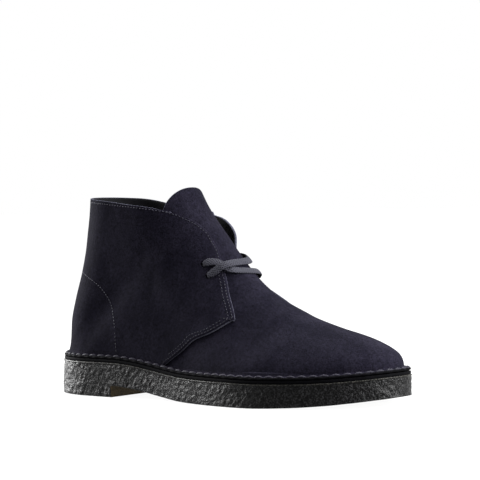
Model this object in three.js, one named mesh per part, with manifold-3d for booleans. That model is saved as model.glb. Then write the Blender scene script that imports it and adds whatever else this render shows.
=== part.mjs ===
// Chukka boot, right foot, suede with a crepe sole. Millimetres, +Z up.
// +X runs from the heel to the toe, +Y is the inner (medial) side, and the floor is z = 0 under the middle of the boot.
import * as THREE from 'three';
import { mergeVertices } from 'three/addons/utils/BufferGeometryUtils.js';
import Module from 'manifold-3d';

// ---- driving sizes ----
const LENGTH = 300;          // outsole, heel to toe
const LEDGE = 5.5;           // sole edge out to the feather line
const GAP = 0.3;             // clearance between pieces that meet
const MID_THICK = 2.2;       // midsole
const FLANGE_THICK = 1.8;    // the upper's turned-out edge
const FLANGE_INSET = 0.7;    // flange edge behind the sole edge
const INSOLE_THICK = 3;
const WALL = 1.8;            // vamp wall, to the inside
const PROUD = 1.6;           // quarters over the vamp, to the outside
const HEEL_BREAST = -76.5;   // front face of the heel lift
const LEVEL_STEPS = 36;      // stations along the sole
const SECTION_STEPS = 44;    // sections of the upper, toe to collar
const ARC_STEPS = 13;        // points from the feather line to the ridge
const BACK_ROUND = 34;       // rounding length at the back of the heel
const TONGUE_HALF = 20;      // tongue half width beside the ridge
const TONGUE_TOP = 152.5;    // height of the tongue's rounded end
const TONGUE_DROP = 15;      // how far its corners fall away
const HOLLOW = 4;            // depth of the inner ankle hollow
const FLARE = 5.6;           // how far the inner quarter springs open
const THROAT_Z = 93;         // height where the tongue leaves the vamp
const LACE = { width: 5.6, thick: 1.4 };

const table = (cols, rows) => Object.fromEntries(cols.map((c, k) => [c, rows.map(r => r[k])]));

// sole outline: along = distance from the back of the heel, centre and half width at that station
const SOLE = table(['along', 'centre', 'half'], [
  [0, 0, 0], [10, 0, 25.3], [25, -0.5, 35.2], [40, -1, 39.2], [60, -1, 40.2], [90, -2.5, 39.2],
  [120, -4, 39.4], [150, -4.5, 43.4], [180, -3, 49.8], [205, -1, 53.9], [225, 1.5, 54.3],
  [250, 4, 49.3], [270, 6, 41], [285, 7.5, 30.2], [295, 8.5, 17.6], [300, 9, 0]]);
// arch, flat tread and toe spring: height of the underside and thickness of the crepe
const TREAD = table(['x', 'under', 'thick'], [
  [-150, 8.5, 16.7], [-76, 8.5, 16.7], [-58, 7.3, 16.8], [-40, 5, 16.9], [-20, 2.2, 17], [-4, 0.6, 17],
  [20, 0, 17], [60, 0, 16.8], [90, 0.9, 16.2], [115, 2.5, 15.5], [135, 4.6, 14.9], [150, 6.5, 14.5]]);
// back of the last
const BACK = table(['z', 'x'], [
  [10, -143.6], [27, -142.4], [38, -140.4], [52, -139.8], [70, -136.4], [90, -130.9], [110, -126.5],
  [130, -123.3], [150, -121.2], [175, -119.8]]);
// tongue leaning back off the last
const LEAN = table(['z', 'back'], [[100, 0], [112, 1.2], [125, 3.2], [138, 5], [150, 6.2], [160, 6.8]]);
const BACK_HALF = table(['z', 'half'], [[20, 32.9], [35, 32.9], [60, 32.2], [85, 30.7], [110, 29.8], [150, 29.4]]);
// sections of the upper, fanned from the toe tip to above the collar. low = distance along the feather line from
// the toe and then up the back, ridgeX and ridgeZ = its top point, centre and side = middle and half width up there,
// round = rounding length beside the ridge
const SECTIONS = table(['low', 'ridgeX', 'ridgeZ', 'centre', 'side', 'round'], [
  [0, 144.6, 26, 8.6, 4, 5], [3, 143, 31, 8.5, 12, 11], [9, 138.5, 36.5, 8.3, 23, 17], [18, 130, 41, 8, 33, 23],
  [32, 116, 46.3, 7.5, 41, 29], [50, 98, 51, 6.8, 45, 34], [72, 76, 57.6, 6, 45, 41], [96, 53, 67, 5.2, 42, 49],
  [122, 31.5, 80.5, 4.4, 38, 56], [152, 13.8, 97.5, 3.8, 34, 58], [190, 0.5, 114.5, 3.2, 31, 54],
  [235, -10.5, 129.5, 2.8, 30.5, 48], [289, -18.6, 142, 2.5, 30.5, 44], [325, -23, 150, 2.5, 31, 42],
  [360, -27, 158, 2.5, 31.5, 41], [400, -30.5, 166, 2.5, 32, 40], [430, -34, 174, 2.5, 32.5, 40]]);
// collar line seen from the side
const COLLAR = table(['x', 'z'], [
  [-150, 147], [-128, 146.4], [-107, 145], [-87, 143.4], [-70, 141.4], [-54, 139.5], [-40, 137], [-28, 133.6], [-20, 130], [40, 112]]);
// front edges of the quarters seen from the front: outer (lateral) and inner (medial) side
const FACING = table(['z', 'outer', 'inner'], [
  [50, -33, 38], [57.6, -27.4, 32], [65.6, -23, 26], [75.1, -18.9, 20], [86.4, -14.3, 17], [98.5, -10.5, 16.5],
  [108.5, -8.2, 17], [117.8, -8.2, 18.5], [124.4, -10.5, 20.5], [130, -15, 24], [134, -21, 29]]);
// lower front edge of the quarters seen from the side, from the facing corner back to the sole
const QUARTER = table(['x', 'z'], [
  [-26.5, 20], [-24.7, 24.7], [-16, 30.4], [-7.8, 35.6], [-2, 40], [2.4, 43.4], [17.6, 49.6], [30, 57.6]]);

// ---- small maths ----
const clamp = (v, a, b) => Math.min(b, Math.max(a, v));
const smooth = t => { t = clamp(t, 0, 1); return t * t * (3 - 2 * t); };
const cell = (xs, x) => { let i = 0; while (i < xs.length - 2 && x >= xs[i + 1]) i++; return i; };
function lerpTable(xs, ys) { // straight between rows
  return x => { x = clamp(x, xs[0], xs.at(-1)); const i = cell(xs, x), t = (x - xs[i]) / (xs[i + 1] - xs[i]); return ys[i] + (ys[i + 1] - ys[i]) * t; };
}
function monotone(xs, ys) { // monotone cubic
  const n = xs.length, h = [], d = [], m = new Array(n).fill(0);
  for (let i = 0; i < n - 1; i++) { h.push(xs[i + 1] - xs[i]); d.push((ys[i + 1] - ys[i]) / h[i]); }
  for (let i = 1; i < n - 1; i++) if (d[i - 1] * d[i] > 0) {
    const a = 2 * h[i] + h[i - 1], b = h[i] + 2 * h[i - 1]; m[i] = (a + b) / (a / d[i - 1] + b / d[i]);
  }
  m[0] = d[0]; m[n - 1] = d[n - 2];
  return x => {
    x = clamp(x, xs[0], xs[n - 1]); const i = cell(xs, x), t = (x - xs[i]) / h[i], t2 = t * t, t3 = t2 * t;
    return ys[i] * (2 * t3 - 3 * t2 + 1) + m[i] * h[i] * (t3 - 2 * t2 + t) + ys[i + 1] * (3 * t2 - 2 * t3) + m[i + 1] * h[i] * (t3 - t2);
  };
}
function spline(xs, ys) { // natural cubic
  const n = xs.length, u = new Array(n).fill(0), y2 = new Array(n).fill(0);
  for (let i = 1; i < n - 1; i++) {
    const s = (xs[i] - xs[i - 1]) / (xs[i + 1] - xs[i - 1]), p = s * y2[i - 1] + 2;
    y2[i] = (s - 1) / p;
    u[i] = (ys[i + 1] - ys[i]) / (xs[i + 1] - xs[i]) - (ys[i] - ys[i - 1]) / (xs[i] - xs[i - 1]);
    u[i] = (6 * u[i] / (xs[i + 1] - xs[i - 1]) - s * u[i - 1]) / p;
  }
  for (let k = n - 2; k >= 0; k--) y2[k] = y2[k] * y2[k + 1] + u[k];
  return x => {
    x = clamp(x, xs[0], xs[n - 1]); const i = cell(xs, x), h = xs[i + 1] - xs[i], a = (xs[i + 1] - x) / h, b = 1 - a;
    return a * ys[i] + b * ys[i + 1] + ((a ** 3 - a) * y2[i] + (b ** 3 - b) * y2[i + 1]) * h * h / 6;
  };
}

// ---- sole outline and levels ----
const angleOf = along => Math.acos(clamp(1 - 2 * along / LENGTH, -1, 1));
const soleCentre = spline(SOLE.along.map(angleOf), SOLE.centre);
const soleHalf = spline(SOLE.along.map(angleOf), SOLE.half);
const under = monotone(TREAD.x, TREAD.under);
const thick = monotone(TREAD.x, TREAD.thick);
const crepeTop = x => under(x) + thick(x);
const feather = x => crepeTop(x) + MID_THICK + 2 * GAP;
// half outlines from the heel to the toe, moved inwards by inset; side -1 outer, +1 inner
function halfOutlines(inset, steps) {
  const ring = [];
  for (let i = 0; i <= steps; i++) { const a = Math.PI * i / steps; ring.push([LENGTH * (1 - Math.cos(a)) / 2 - LENGTH / 2, soleCentre(a) - soleHalf(a)]); }
  for (let i = steps - 1; i > 0; i--) { const a = Math.PI * i / steps; ring.push([LENGTH * (1 - Math.cos(a)) / 2 - LENGTH / 2, soleCentre(a) + soleHalf(a)]); }
  const n = ring.length, moved = ring.map((p, i) => {
    const a = ring[(i + n - 1) % n], b = ring[(i + 1) % n], dx = b[0] - a[0], dy = b[1] - a[1], l = Math.hypot(dx, dy);
    return [p[0] - dy / l * inset, p[1] + dx / l * inset];
  });
  return { outer: moved.slice(0, steps + 1), inner: [moved[0], ...moved.slice(steps).reverse()] };
}
const fine = halfOutlines(LEDGE, 200);
const HEEL_X = fine.outer[0][0], TOE_X = fine.outer.at(-1)[0];
const featherSide = {};
for (const [side, pts] of [[-1, fine.outer], [1, fine.inner]]) {
  const s = [...pts].sort((a, b) => a[0] - b[0]); featherSide[side] = lerpTable(s.map(p => p[0]), s.map(p => p[1]));
}

// ---- the upper's own function ----
const backX = monotone(BACK.z, BACK.x);
const backHalf = monotone(BACK_HALF.z, BACK_HALF.half);
const heelZ = feather(HEEL_X) + 0.4;
const back = z => backX(z) - (backX(heelZ) - HEEL_X) * Math.exp(-(z - heelZ) / 6);
const SEAT = 0.4; // the wall starts inside the flange
const base = { s: [0], x: [TOE_X], z: [feather(TOE_X) + SEAT] };
const addBase = (x, z) => { base.s.push(base.s.at(-1) + Math.hypot(x - base.x.at(-1), z - base.z.at(-1))); base.x.push(x); base.z.push(z); };
for (let i = 1; i <= 300; i++) { const x = TOE_X + (HEEL_X - TOE_X) * i / 300; addBase(x, feather(x) + SEAT); }
const CORNER = base.s.at(-1);
for (let i = 1; i <= 150; i++) { const z = heelZ + (175 - heelZ) * i / 150; addBase(back(z), z); }
const baseX = lerpTable(base.s, base.x), baseZ = lerpTable(base.s, base.z);
const fanPos = [0];
for (let i = 1; i < SECTIONS.low.length; i++) fanPos.push(fanPos[i - 1]
  + Math.hypot(SECTIONS.ridgeX[i] - SECTIONS.ridgeX[i - 1], SECTIONS.ridgeZ[i] - SECTIONS.ridgeZ[i - 1]) + 0.25 * (SECTIONS.low[i] - SECTIONS.low[i - 1]));
const FAN = fanPos.at(-1);
const sec = { low: monotone(fanPos, SECTIONS.low) };
for (const k of ['ridgeX', 'ridgeZ', 'centre', 'side', 'round']) sec[k] = spline(fanPos, SECTIONS[k]);
const edgeRound = (d, r) => { const q = 1 - clamp(d / r, 0, 1); return Math.sqrt(Math.max(0, 1 - q * q)); };
// u along the fan, t from the feather line or back (0) to the ridge (1)
function last(u, t, side, flare = true) {
  const low = sec.low(u), bx = baseX(low), bz = baseZ(low), rx = sec.ridgeX(u), rz = sec.ridgeZ(u);
  let x = bx + (rx - bx) * t; const z = bz + (rz - bz) * t;
  const span = Math.hypot(rx - bx, rz - bz);
  const ridge = edgeRound((1 - t) * span, Math.min(sec.round(u), span));
  const onFoot = low <= CORNER + 1e-6, fy = featherSide[side](bx), fc = (featherSide[-1](bx) + featherSide[1](bx)) / 2;
  const heel = edgeRound(x - back(Math.max(z, heelZ)), BACK_ROUND), heel0 = edgeRound(Math.max(bx - HEEL_X, 1e-6), BACK_ROUND);
  const near = onFoot ? smooth((-60 - bx) / 70) : 1; // the foot sections pass smoothly into those of the back
  const own = onFoot && bx - HEEL_X > 0.5 ? Math.abs(fy - fc) / heel0 : backHalf(bz);
  const foot = own + (backHalf(bz) - own) * smooth(1 - (bx - HEEL_X) / 12);
  const full = onFoot ? foot * (1 + near * (backHalf(z) / backHalf(bz) - 1)) : backHalf(z);
  const k = smooth(1.15 * t);
  const counter = 1.3 * Math.exp(-(((x + 100) / 55) ** 2) - ((z - 46) / 24) ** 2); // heel counter
  const half = full * (1 - k) + sec.side(u) * k + counter;
  const c0 = (onFoot ? fc * (1 - near) : 0) + near * 2.5 * smooth((z - 30) / 90);
  let y = c0 * (1 - k) + sec.centre(u) * k + side * half * ridge * heel;
  if (side > 0) { // hollow of the inner ankle
    const s = HOLLOW * smooth((z - 66) / 16) * smooth((118 - z) / 16) * smooth((t - 0.5) / 0.3) * smooth((1 - t) / 0.10);
    x -= 0.72 * s; y -= 0.6 * s;
  }
  if (flare && side > 0) { // the inner quarter springs open beside the tongue
    const s = FLARE * smooth((z - 104) / 24) * smooth((t - 0.80) / 0.11) * smooth((1 - t) / 0.04);
    x += 0.72 * s; y += 0.6 * s;
  }
  return [x, y, z];
}
const stations = [];
{ // sections close together at the toe and at the back of the heel
  const U_CORNER = (() => { let a = 0, b = FAN; for (let i = 0; i < 60; i++) { const m = (a + b) / 2; if (sec.low(m) < CORNER) a = m; else b = m; } return (a + b) / 2; })();
  const n1 = Math.round(SECTION_STEPS * 0.8), n2 = SECTION_STEPS - n1;
  const lowAt = f => CORNER * (1 - Math.cos(Math.PI * f)) / 2 * 0.55 + CORNER * f * 0.45;
  for (let i = 0; i <= n1; i++) {
    const target = lowAt(i / n1); let a = 0, b = U_CORNER;
    for (let k = 0; k < 50; k++) { const m = (a + b) / 2; if (sec.low(m) < target) a = m; else b = m; }
    stations.push(i === n1 ? U_CORNER : (a + b) / 2);
  }
  for (let i = 1; i <= n2; i++) stations.push(U_CORNER + (FAN - U_CORNER) * i / n2);
  stations.corner = n1;
}
// points along a section: close together at the ridge, and at the back as well towards the heel
const arcAt = (j, u) => {
  const f = j / ARC_STEPS, k = smooth((sec.low(u) - 0.45 * CORNER) / (0.5 * CORNER));
  return (1 - k) * (0.45 * f + 0.55 * Math.sin(Math.PI / 2 * f)) + k * (0.22 * f + 0.78 * (1 - Math.cos(Math.PI * f)) / 2);
};

// grid of points: outer side from the feather line up to the ridge and down the inner side
function shellGrid(us, flare) {
  return us.map((u, i) => {
    const row = [];
    for (let j = 0; j <= ARC_STEPS; j++) row.push(last(u, arcAt(j, u), -1, flare));
    for (let j = ARC_STEPS - 1; j >= 0; j--) row.push(last(u, arcAt(j, u), 1, flare));
    if (i >= stations.corner || i === 0) row[row.length - 1] = [...row[0]];
    return row;
  });
}
const V = (a, b) => [b[0] - a[0], b[1] - a[1], b[2] - a[2]];
const cross = (a, b) => [a[1] * b[2] - a[2] * b[1], a[2] * b[0] - a[0] * b[2], a[0] * b[1] - a[1] * b[0]];
const unit = a => { const l = Math.hypot(...a) || 1; return a.map(v => v / l); };
function gridNormals(g) {
  const n = g.map(r => r.map(() => [0, 0, 0])), m = g[0].length;
  for (let i = 0; i < g.length - 1; i++) for (let j = 0; j < m - 1; j++) {
    const q = cross(V(g[i][j], g[i + 1][j + 1]), V(g[i][j + 1], g[i + 1][j]));
    for (const [a, b] of [[i, j], [i + 1, j], [i, j + 1], [i + 1, j + 1]]) for (let k = 0; k < 3; k++) n[a][b][k] += q[k];
  }
  for (let i = 0; i < g.length; i++) if (i >= stations.corner || i === 0) {
    const s = [0, 1, 2].map(k => n[i][0][k] + n[i][m - 1][k]); n[i][0] = s; n[i][m - 1] = [...s];
  }
  // the ridge runs on the mirror plane of the section, so its normal has no sideways part at the toe
  const out = n.map(r => r.map(unit));
  const mid = out[6][(m - 1) / 2]; if (mid[2] < 0) for (const r of out) for (const v of r) for (let k = 0; k < 3; k++) v[k] *= -1;
  for (let i = 0; i < g.length; i++) if (i <= stations.corner) for (const j of [0, m - 1]) { // feather line: move level
    const v = out[i][j], l = Math.hypot(v[0], v[1]); if (l > 0.2) { out[i][j] = [v[0] / l, v[1] / l, 0]; }
  }
  for (const j of [0, m - 1]) out[stations.corner][j] = [-1, 0, 0];
  for (const j of [0, m - 1]) out[0][j] = [1, 0, 0];
  return out;
}
const shift = (g, n, d) => g.map((r, i) => r.map((p, j) => p.map((v, k) => v + n[i][j][k] * d)));

// ---- solids ----
const wasm = await Module(); wasm.setup();
function solidFrom(points, faces) {
  const g = new THREE.BufferGeometry();
  g.setAttribute('position', new THREE.Float32BufferAttribute(faces.flat().flatMap(i => points[i]), 3));
  const m = mergeVertices(g, 1e-4), tri = [];
  const idx = m.index.array;
  for (let i = 0; i < idx.length; i += 3) if (idx[i] !== idx[i + 1] && idx[i + 1] !== idx[i + 2] && idx[i] !== idx[i + 2]) tri.push(idx[i], idx[i + 1], idx[i + 2]);
  let body = new wasm.Manifold(new wasm.Mesh({ numProp: 3, vertProperties: new Float32Array(m.attributes.position.array), triVerts: new Uint32Array(tri) }));
  if (body.volume() < 0) {
    for (let i = 0; i < tri.length; i += 3) [tri[i], tri[i + 1]] = [tri[i + 1], tri[i]];
    body = new wasm.Manifold(new wasm.Mesh({ numProp: 3, vertProperties: new Float32Array(m.attributes.position.array), triVerts: new Uint32Array(tri) }));
  }
  return body;
}
// closed body of a shell grid, dropped below the feather line by skirt
function lastSolid(grid, skirt) {
  const pts = [], id = grid.map(r => r.map(p => pts.push(p) - 1)), f = [], m = grid[0].length, c = stations.corner;
  const quad = (a, b, cc, d) => { f.push([a, b, cc], [a, cc, d]); };
  for (let i = 0; i < grid.length - 1; i++) for (let j = 0; j < m - 1; j++) quad(id[i][j], id[i + 1][j], id[i + 1][j + 1], id[i][j + 1]);
  const low = [0, m - 1].map(j => grid.map((r, i) => i <= c ? pts.push([r[j][0], r[j][1], r[j][2] - skirt]) - 1 : -1));
  for (let i = 0; i < c; i++) {
    if (skirt > 0) { quad(low[0][i], low[0][i + 1], id[i + 1][0], id[i][0]); quad(id[i][m - 1], id[i + 1][m - 1], low[1][i + 1], low[1][i]); quad(low[1][i], low[1][i + 1], low[0][i + 1], low[0][i]); }
    else quad(id[i][m - 1], id[i + 1][m - 1], id[i + 1][0], id[i][0]);
  }
  for (let j = 0; j < (m - 1) / 2; j++) { // toe tip and top
    quad(id[0][m - 1 - j], id[0][j], id[0][j + 1], id[0][m - 2 - j]);
    const n = grid.length - 1; quad(id[n][j], id[n][m - 1 - j], id[n][m - 2 - j], id[n][j + 1]);
  }
  return solidFrom(pts, f);
}
// straight prism of a polygon; axis 'y' takes [x, z] points, axis 'x' takes [y, z] points
function prism(poly, axis, from, to) {
  const shape = new THREE.Shape(poly.map(p => new THREE.Vector2(p[0], p[1])));
  const g = new THREE.ExtrudeGeometry(shape, { depth: to - from, bevelEnabled: false });
  const p = g.attributes.position, pts = [];
  for (let i = 0; i < p.count; i++) {
    const a = p.getX(i), b = p.getY(i), d = p.getZ(i) + from; pts.push(axis === 'y' ? [a, d, b] : [d, a, b]);
  }
  const f = []; for (let i = 0; i < p.count; i += 3) f.push([i, i + 1, i + 2]);
  return solidFrom(pts, f);
}
// flat-sided slab between two height functions inside the sole outline
function slab(inset, bottom, top, x0 = -1e9, x1 = 1e9, steps = LEVEL_STEPS) {
  const o = halfOutlines(inset, 4 * steps), n = 4 * steps, rows = [];
  for (let i = 0; i <= steps; i++) {
    const k = Math.round(n * i / steps), a = o.outer[k], b = o.inner[k], x = (a[0] + b[0]) / 2;
    rows.push({ x, a: [x, a[1]], b: [x, b[1]] });
  }
  let list = rows.filter(r => r.x > x0 + 1 && r.x < x1 - 1);
  const cutRow = x => {
    const i = rows.findIndex(r => r.x > x), p = rows[i - 1], q = rows[i], t = (x - p.x) / (q.x - p.x);
    return { x, a: [x, p.a[1] + (q.a[1] - p.a[1]) * t], b: [x, p.b[1] + (q.b[1] - p.b[1]) * t] };
  };
  if (x0 > -200) list = [cutRow(x0), ...list];
  if (x1 < 200) list = [...list, cutRow(x1)];
  const pts = [], id = list.map(r => [r.a, r.b].flatMap(p => [pts.push([p[0], p[1], bottom(p[0])]) - 1, pts.push([p[0], p[1], top(p[0])]) - 1]));
  const f = [], quad = (a, b, c, d) => f.push([a, b, c], [a, c, d]);
  for (let i = 0; i < id.length - 1; i++) {
    const [a0, a1, b0, b1] = id[i], [c0, c1, d0, d1] = id[i + 1];
    quad(a0, b0, d0, c0); quad(a1, c1, d1, b1); quad(a0, c0, c1, a1); quad(b0, b1, d1, d0);
  }
  const s = id[0], e = id.at(-1);
  quad(s[0], s[1], s[3], s[2]); quad(e[0], e[2], e[3], e[1]);
  return solidFrom(pts, f);
}

// sole
const outsole = slab(0, under, crepeTop);
const heel = slab(0, () => 0, x => under(x) - GAP, -1e9, HEEL_BREAST);
const midsole = slab(0.6, x => crepeTop(x) + GAP, x => crepeTop(x) + GAP + MID_THICK);

// upper: outer form, larger form for the quarters, inner form
const grid = shellGrid(stations, true), norm = gridNormals(grid);
const outer = lastSolid(grid, 0);
const proud = lastSolid(shift(grid, norm, PROUD), 0);
const inner = lastSolid(shift(grid, norm, -WALL), 12);
const facing = side => FACING.z.map((z, i) => [FACING[side][i], z]);
const quarterOuter = prism([[-90, -20], [FACING.outer[0], -20], ...facing('outer'), [-24, 200], [-90, 200]], 'x', -200, 200);
const quarterInner = prism([[90, -20], [90, 200], [32, 200], ...facing('inner').reverse(), [FACING.inner[0], -20]], 'x', -200, 200);
const behind = prism([[-200, -20], [QUARTER.x[0], -20], ...QUARTER.x.map((x, i) => [x, QUARTER.z[i]]), [60, 64], [60, 200], [-200, 200]], 'y', -120, 120);
const insole = lastSolid(shift(grid, norm, -WALL - GAP - 0.1), 12).intersect(slab(LEDGE, feather, x => feather(x) + INSOLE_THICK));
const heelPart = prism([[-200, -20], [-48, -20], [-48, 200], [-200, 200]], 'y', -120, 120);
const quarters = proud.intersect(quarterOuter.add(quarterInner).add(heelPart)).intersect(behind);
const collarCut = prism([...COLLAR.x.map((x, i) => [x, COLLAR.z[i]]), [60, 220], [-220, 220], [-220, COLLAR.z[0]]], 'y', -120, 120);
// the inner side of the collar dips a little lower
const collarInner = prism([[-108, 145.1], [-90, 143.0], [-70, 138.6], [-54, 136.3], [-40, 134.4], [-28, 133.0], [-20, 130], [-20, 220], [-108, 220]], 'y', 6, 120);
// throat: open between the facings above the vamp
const throatLine = FACING.z.map((z, i) => ({ z, a: FACING.outer[i], b: FACING.inner[i] })).filter(r => r.z > THROAT_Z);
const throatCut = prism([...throatLine.map(r => [r.a, r.z]), [-21, 200], [29, 200], ...throatLine.map(r => [r.b, r.z]).reverse(), [16.7, THROAT_Z], [-12.2, THROAT_Z]], 'x', -60, 80);

// a point on the last by its distance s from the ridge (outer side negative), and the outward normal there
const spanAt = u => Math.hypot(sec.ridgeX(u) - baseX(sec.low(u)), sec.ridgeZ(u) - baseZ(sec.low(u)));
const lean = monotone(LEAN.z, LEAN.back);
const onLast = (u, s, flare) => last(u, 1 - Math.abs(s) / spanAt(u), s < 0 ? -1 : 1, flare);
function normalAt(u, s, flare) {
  const e = 0.6, u1 = Math.min(u + e, FAN), p = onLast(u1, s, flare), q = onLast(u1 - 2 * e, s, flare);
  const v = unit(cross(V(q, p), V(onLast(u, s - e, flare), onLast(u, s + e, flare))));
  return v[0] + v[2] + (s < 0 ? -v[1] : v[1]) < 0 ? v.map(c => -c) : v;
}
const lifted = (u, s, d, flare = true) => { const p = onLast(u, s, flare), n = normalAt(u, s, flare); return p.map((v, k) => v + n[k] * d); };
// the section and distance of a point given by its place in the side view
function locate(x, z, side) {
  const miss = u => { const bx = baseX(sec.low(u)), bz = baseZ(sec.low(u)); return (sec.ridgeX(u) - bx) * (z - bz) - (sec.ridgeZ(u) - bz) * (x - bx); };
  let a = 0, b = FAN; for (let i = 0; i < 60; i++) { const m = (a + b) / 2; if (miss(m) > 0) a = m; else b = m; }
  const u = (a + b) / 2; return [u, side * Math.hypot(sec.ridgeX(u) - x, sec.ridgeZ(u) - z)];
}

// tongue: a sheet on the last between the ridge and TONGUE_HALF to each side, rounded at the top
function sheet(halfAt, uLow, uTop, nu, ns, d0, d1, flare) {
  const rows = [];
  for (let i = 0; i <= nu; i++) {
    const row = [];
    for (let j = 0; j <= ns; j++) {
      const f = -1 + 2 * j / ns, h = halfAt, s = f * h, u = uLow(f) + (uTop(f) - uLow(f)) * i / nu;
      row.push([lifted(u, s, d0, flare), lifted(u, s, d1, flare)].map(([x, y, z]) => [x - lean(z), y, z]));
    }
    rows.push(row);
  }
  const pts = [], id = rows.map(r => r.map(pq => pq.map(p => pts.push(p) - 1))), f = [], quad = (a, b, c, d) => f.push([a, b, c], [a, c, d]);
  for (let i = 0; i < nu; i++) for (let j = 0; j < ns; j++) {
    quad(id[i][j][1], id[i][j + 1][1], id[i + 1][j + 1][1], id[i + 1][j][1]);
    quad(id[i][j][0], id[i + 1][j][0], id[i + 1][j + 1][0], id[i][j + 1][0]);
  }
  for (let i = 0; i < nu; i++) { quad(id[i][0][0], id[i][0][1], id[i + 1][0][1], id[i + 1][0][0]); quad(id[i][ns][1], id[i][ns][0], id[i + 1][ns][0], id[i + 1][ns][1]); }
  for (let j = 0; j < ns; j++) { quad(id[0][j][1], id[0][j][0], id[0][j + 1][0], id[0][j + 1][1]); quad(id[nu][j][0], id[nu][j][1], id[nu][j + 1][1], id[nu][j + 1][0]); }
  return solidFrom(pts, f);
}
const uAtZ = z => { let a = 0, b = FAN; for (let i = 0; i < 50; i++) { const m = (a + b) / 2; if (sec.ridgeZ(m) < z) a = m; else b = m; } return (a + b) / 2; };
const tongueTop = f => uAtZ(TONGUE_TOP - TONGUE_DROP * (1 - Math.sqrt(Math.max(0, 1 - 0.98 * f * f))));
const tongueLow = extra => () => uAtZ(THROAT_Z + 2.5 - extra);
const tongue = sheet(TONGUE_HALF, tongueLow(0), tongueTop, 12, 14, -WALL, 0, false);
const tongueRoom = sheet(TONGUE_HALF + 1.5, tongueLow(1.5), () => uAtZ(170), 12, 14, -WALL - 3.5, GAP, false);

// flange: the bottom edge of the upper turned out over the midsole
const flange = slab(FLANGE_INSET, feather, x => feather(x) + FLANGE_THICK);
const upper = outer.add(quarters).subtract(throatCut).subtract(collarCut).subtract(collarInner).subtract(tongueRoom).add(flange).subtract(inner);

// lace: two flat strands crossing over the tongue, from one facing to the other. x, z = place in the side view,
// side = outer -1 or inner 1, lift = height over the last
const STRAND_A = table(['x', 'z', 'side', 'lift'], [
  [-3.5, 98.2, -1, 2.6], [0.6, 98.4, -1, 2.8], [4.6, 98, -1, 3.4], [8.4, 96.6, -1, 4.0], [12, 94.6, -1, 3.7], [16, 91.4, 1, 3.6], [14.2, 87.6, 1, 3.2], [10.2, 86, 1, 2.6], [5.5, 86.6, 1, 2.5]]);
const STRAND_B = table(['x', 'z', 'side', 'lift'], [
  [4.6, 89.6, -1, 2.1], [7.5, 91.5, -1, 2.2], [10.5, 95, -1, 3.4], [12.6, 98, 1, 2.8], [9, 99.6, 1, 2.2], [4, 100, 1, 2.4], [-1, 99.6, 1, 2.4]]);
function strap(rows, width, height) {
  const at = rows.x.map((x, i) => locate(x, rows.z[i], rows.side[i]));
  const curve = new THREE.CatmullRomCurve3(at.map(([u, d], i) => new THREE.Vector3(...lifted(u, d, rows.lift[i]))));
  const ups = new THREE.CatmullRomCurve3(at.map(([u, d]) => new THREE.Vector3(...normalAt(u, d, false))));
  const n = 16, pts = [], id = [];
  for (let i = 0; i <= n; i++) {
    const c = curve.getPoint(i / n), d = curve.getTangent(i / n), up = ups.getPoint(i / n).normalize();
    const w = new THREE.Vector3().crossVectors(d, up).normalize(), v = new THREE.Vector3().crossVectors(w, d).normalize();
    id.push([[-1, 0], [-1, 1], [1, 1], [1, 0]].map(([a, b]) => pts.push(c.clone().addScaledVector(w, a * width / 2).addScaledVector(v, b * height).toArray()) - 1));
  }
  const f = [], quad = (a, b, c, d) => f.push([a, b, c], [a, c, d]);
  for (let i = 0; i < n; i++) for (let k = 0; k < 4; k++) quad(id[i][k], id[i][(k + 1) % 4], id[i + 1][(k + 1) % 4], id[i + 1][k]);
  quad(...id[0].slice().reverse()); quad(...id[n]);
  return solidFrom(pts, f);
}
const lace = strap(STRAND_A, LACE.width, LACE.thick).add(strap(STRAND_B, LACE.width, LACE.thick));

// ---- scene graph ----
const boot = new THREE.Group();
function place(name, body, color, roughness) {
  body = body.decompose().sort((a, b) => b.volume() - a.volume())[0]; // a cut may leave crumbs of no size
  const m = body.getMesh(), g = new THREE.BufferGeometry();
  g.setAttribute('position', new THREE.Float32BufferAttribute(m.vertProperties, 3));
  g.setIndex([...m.triVerts]); g.computeVertexNormals();
  const mesh = new THREE.Mesh(g, new THREE.MeshStandardMaterial({ color, roughness, metalness: 0 }));
  mesh.name = name; boot.add(mesh);
}
place('outsole', outsole, '#33332f', 0.9);
place('heel', heel, '#33332f', 0.9);
place('midsole', midsole, '#17171a', 0.85);
place('insole', insole, '#16161a', 0.9);
place('upper', upper, '#1d1f2b', 0.95);
place('tongue', tongue, '#1d1f2b', 0.95);
place('lace', lace, '#3a3b42', 0.9);
export default boot;
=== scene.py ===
"""Chukka boot, right foot: the looks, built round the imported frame. Shapes are worked out in millimetres and made in metres."""
import bpy, math
import numpy as np
from mathutils import Vector, Matrix


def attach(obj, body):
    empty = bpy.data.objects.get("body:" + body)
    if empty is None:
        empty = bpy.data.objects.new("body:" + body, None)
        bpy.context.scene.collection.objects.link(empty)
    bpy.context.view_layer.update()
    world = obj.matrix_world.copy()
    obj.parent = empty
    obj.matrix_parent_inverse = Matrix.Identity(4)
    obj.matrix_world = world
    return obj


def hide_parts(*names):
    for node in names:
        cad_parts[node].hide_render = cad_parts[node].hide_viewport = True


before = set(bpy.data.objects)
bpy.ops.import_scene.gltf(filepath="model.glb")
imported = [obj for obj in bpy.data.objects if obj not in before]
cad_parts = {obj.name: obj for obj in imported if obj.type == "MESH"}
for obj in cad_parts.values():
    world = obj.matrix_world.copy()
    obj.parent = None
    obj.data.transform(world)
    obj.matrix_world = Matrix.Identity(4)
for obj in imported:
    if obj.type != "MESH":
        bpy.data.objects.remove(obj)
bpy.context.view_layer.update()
MM = 0.001

# ------------------------------------------------------------------ camera
AZ, EL, ROLL, DIST, FOCAL = 40.0, 3.5, -1.30, 1500.0, 2071.0
CENTRE = (225.0, 314.4)                       # where the optical axis meets the 480 x 480 picture


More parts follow.
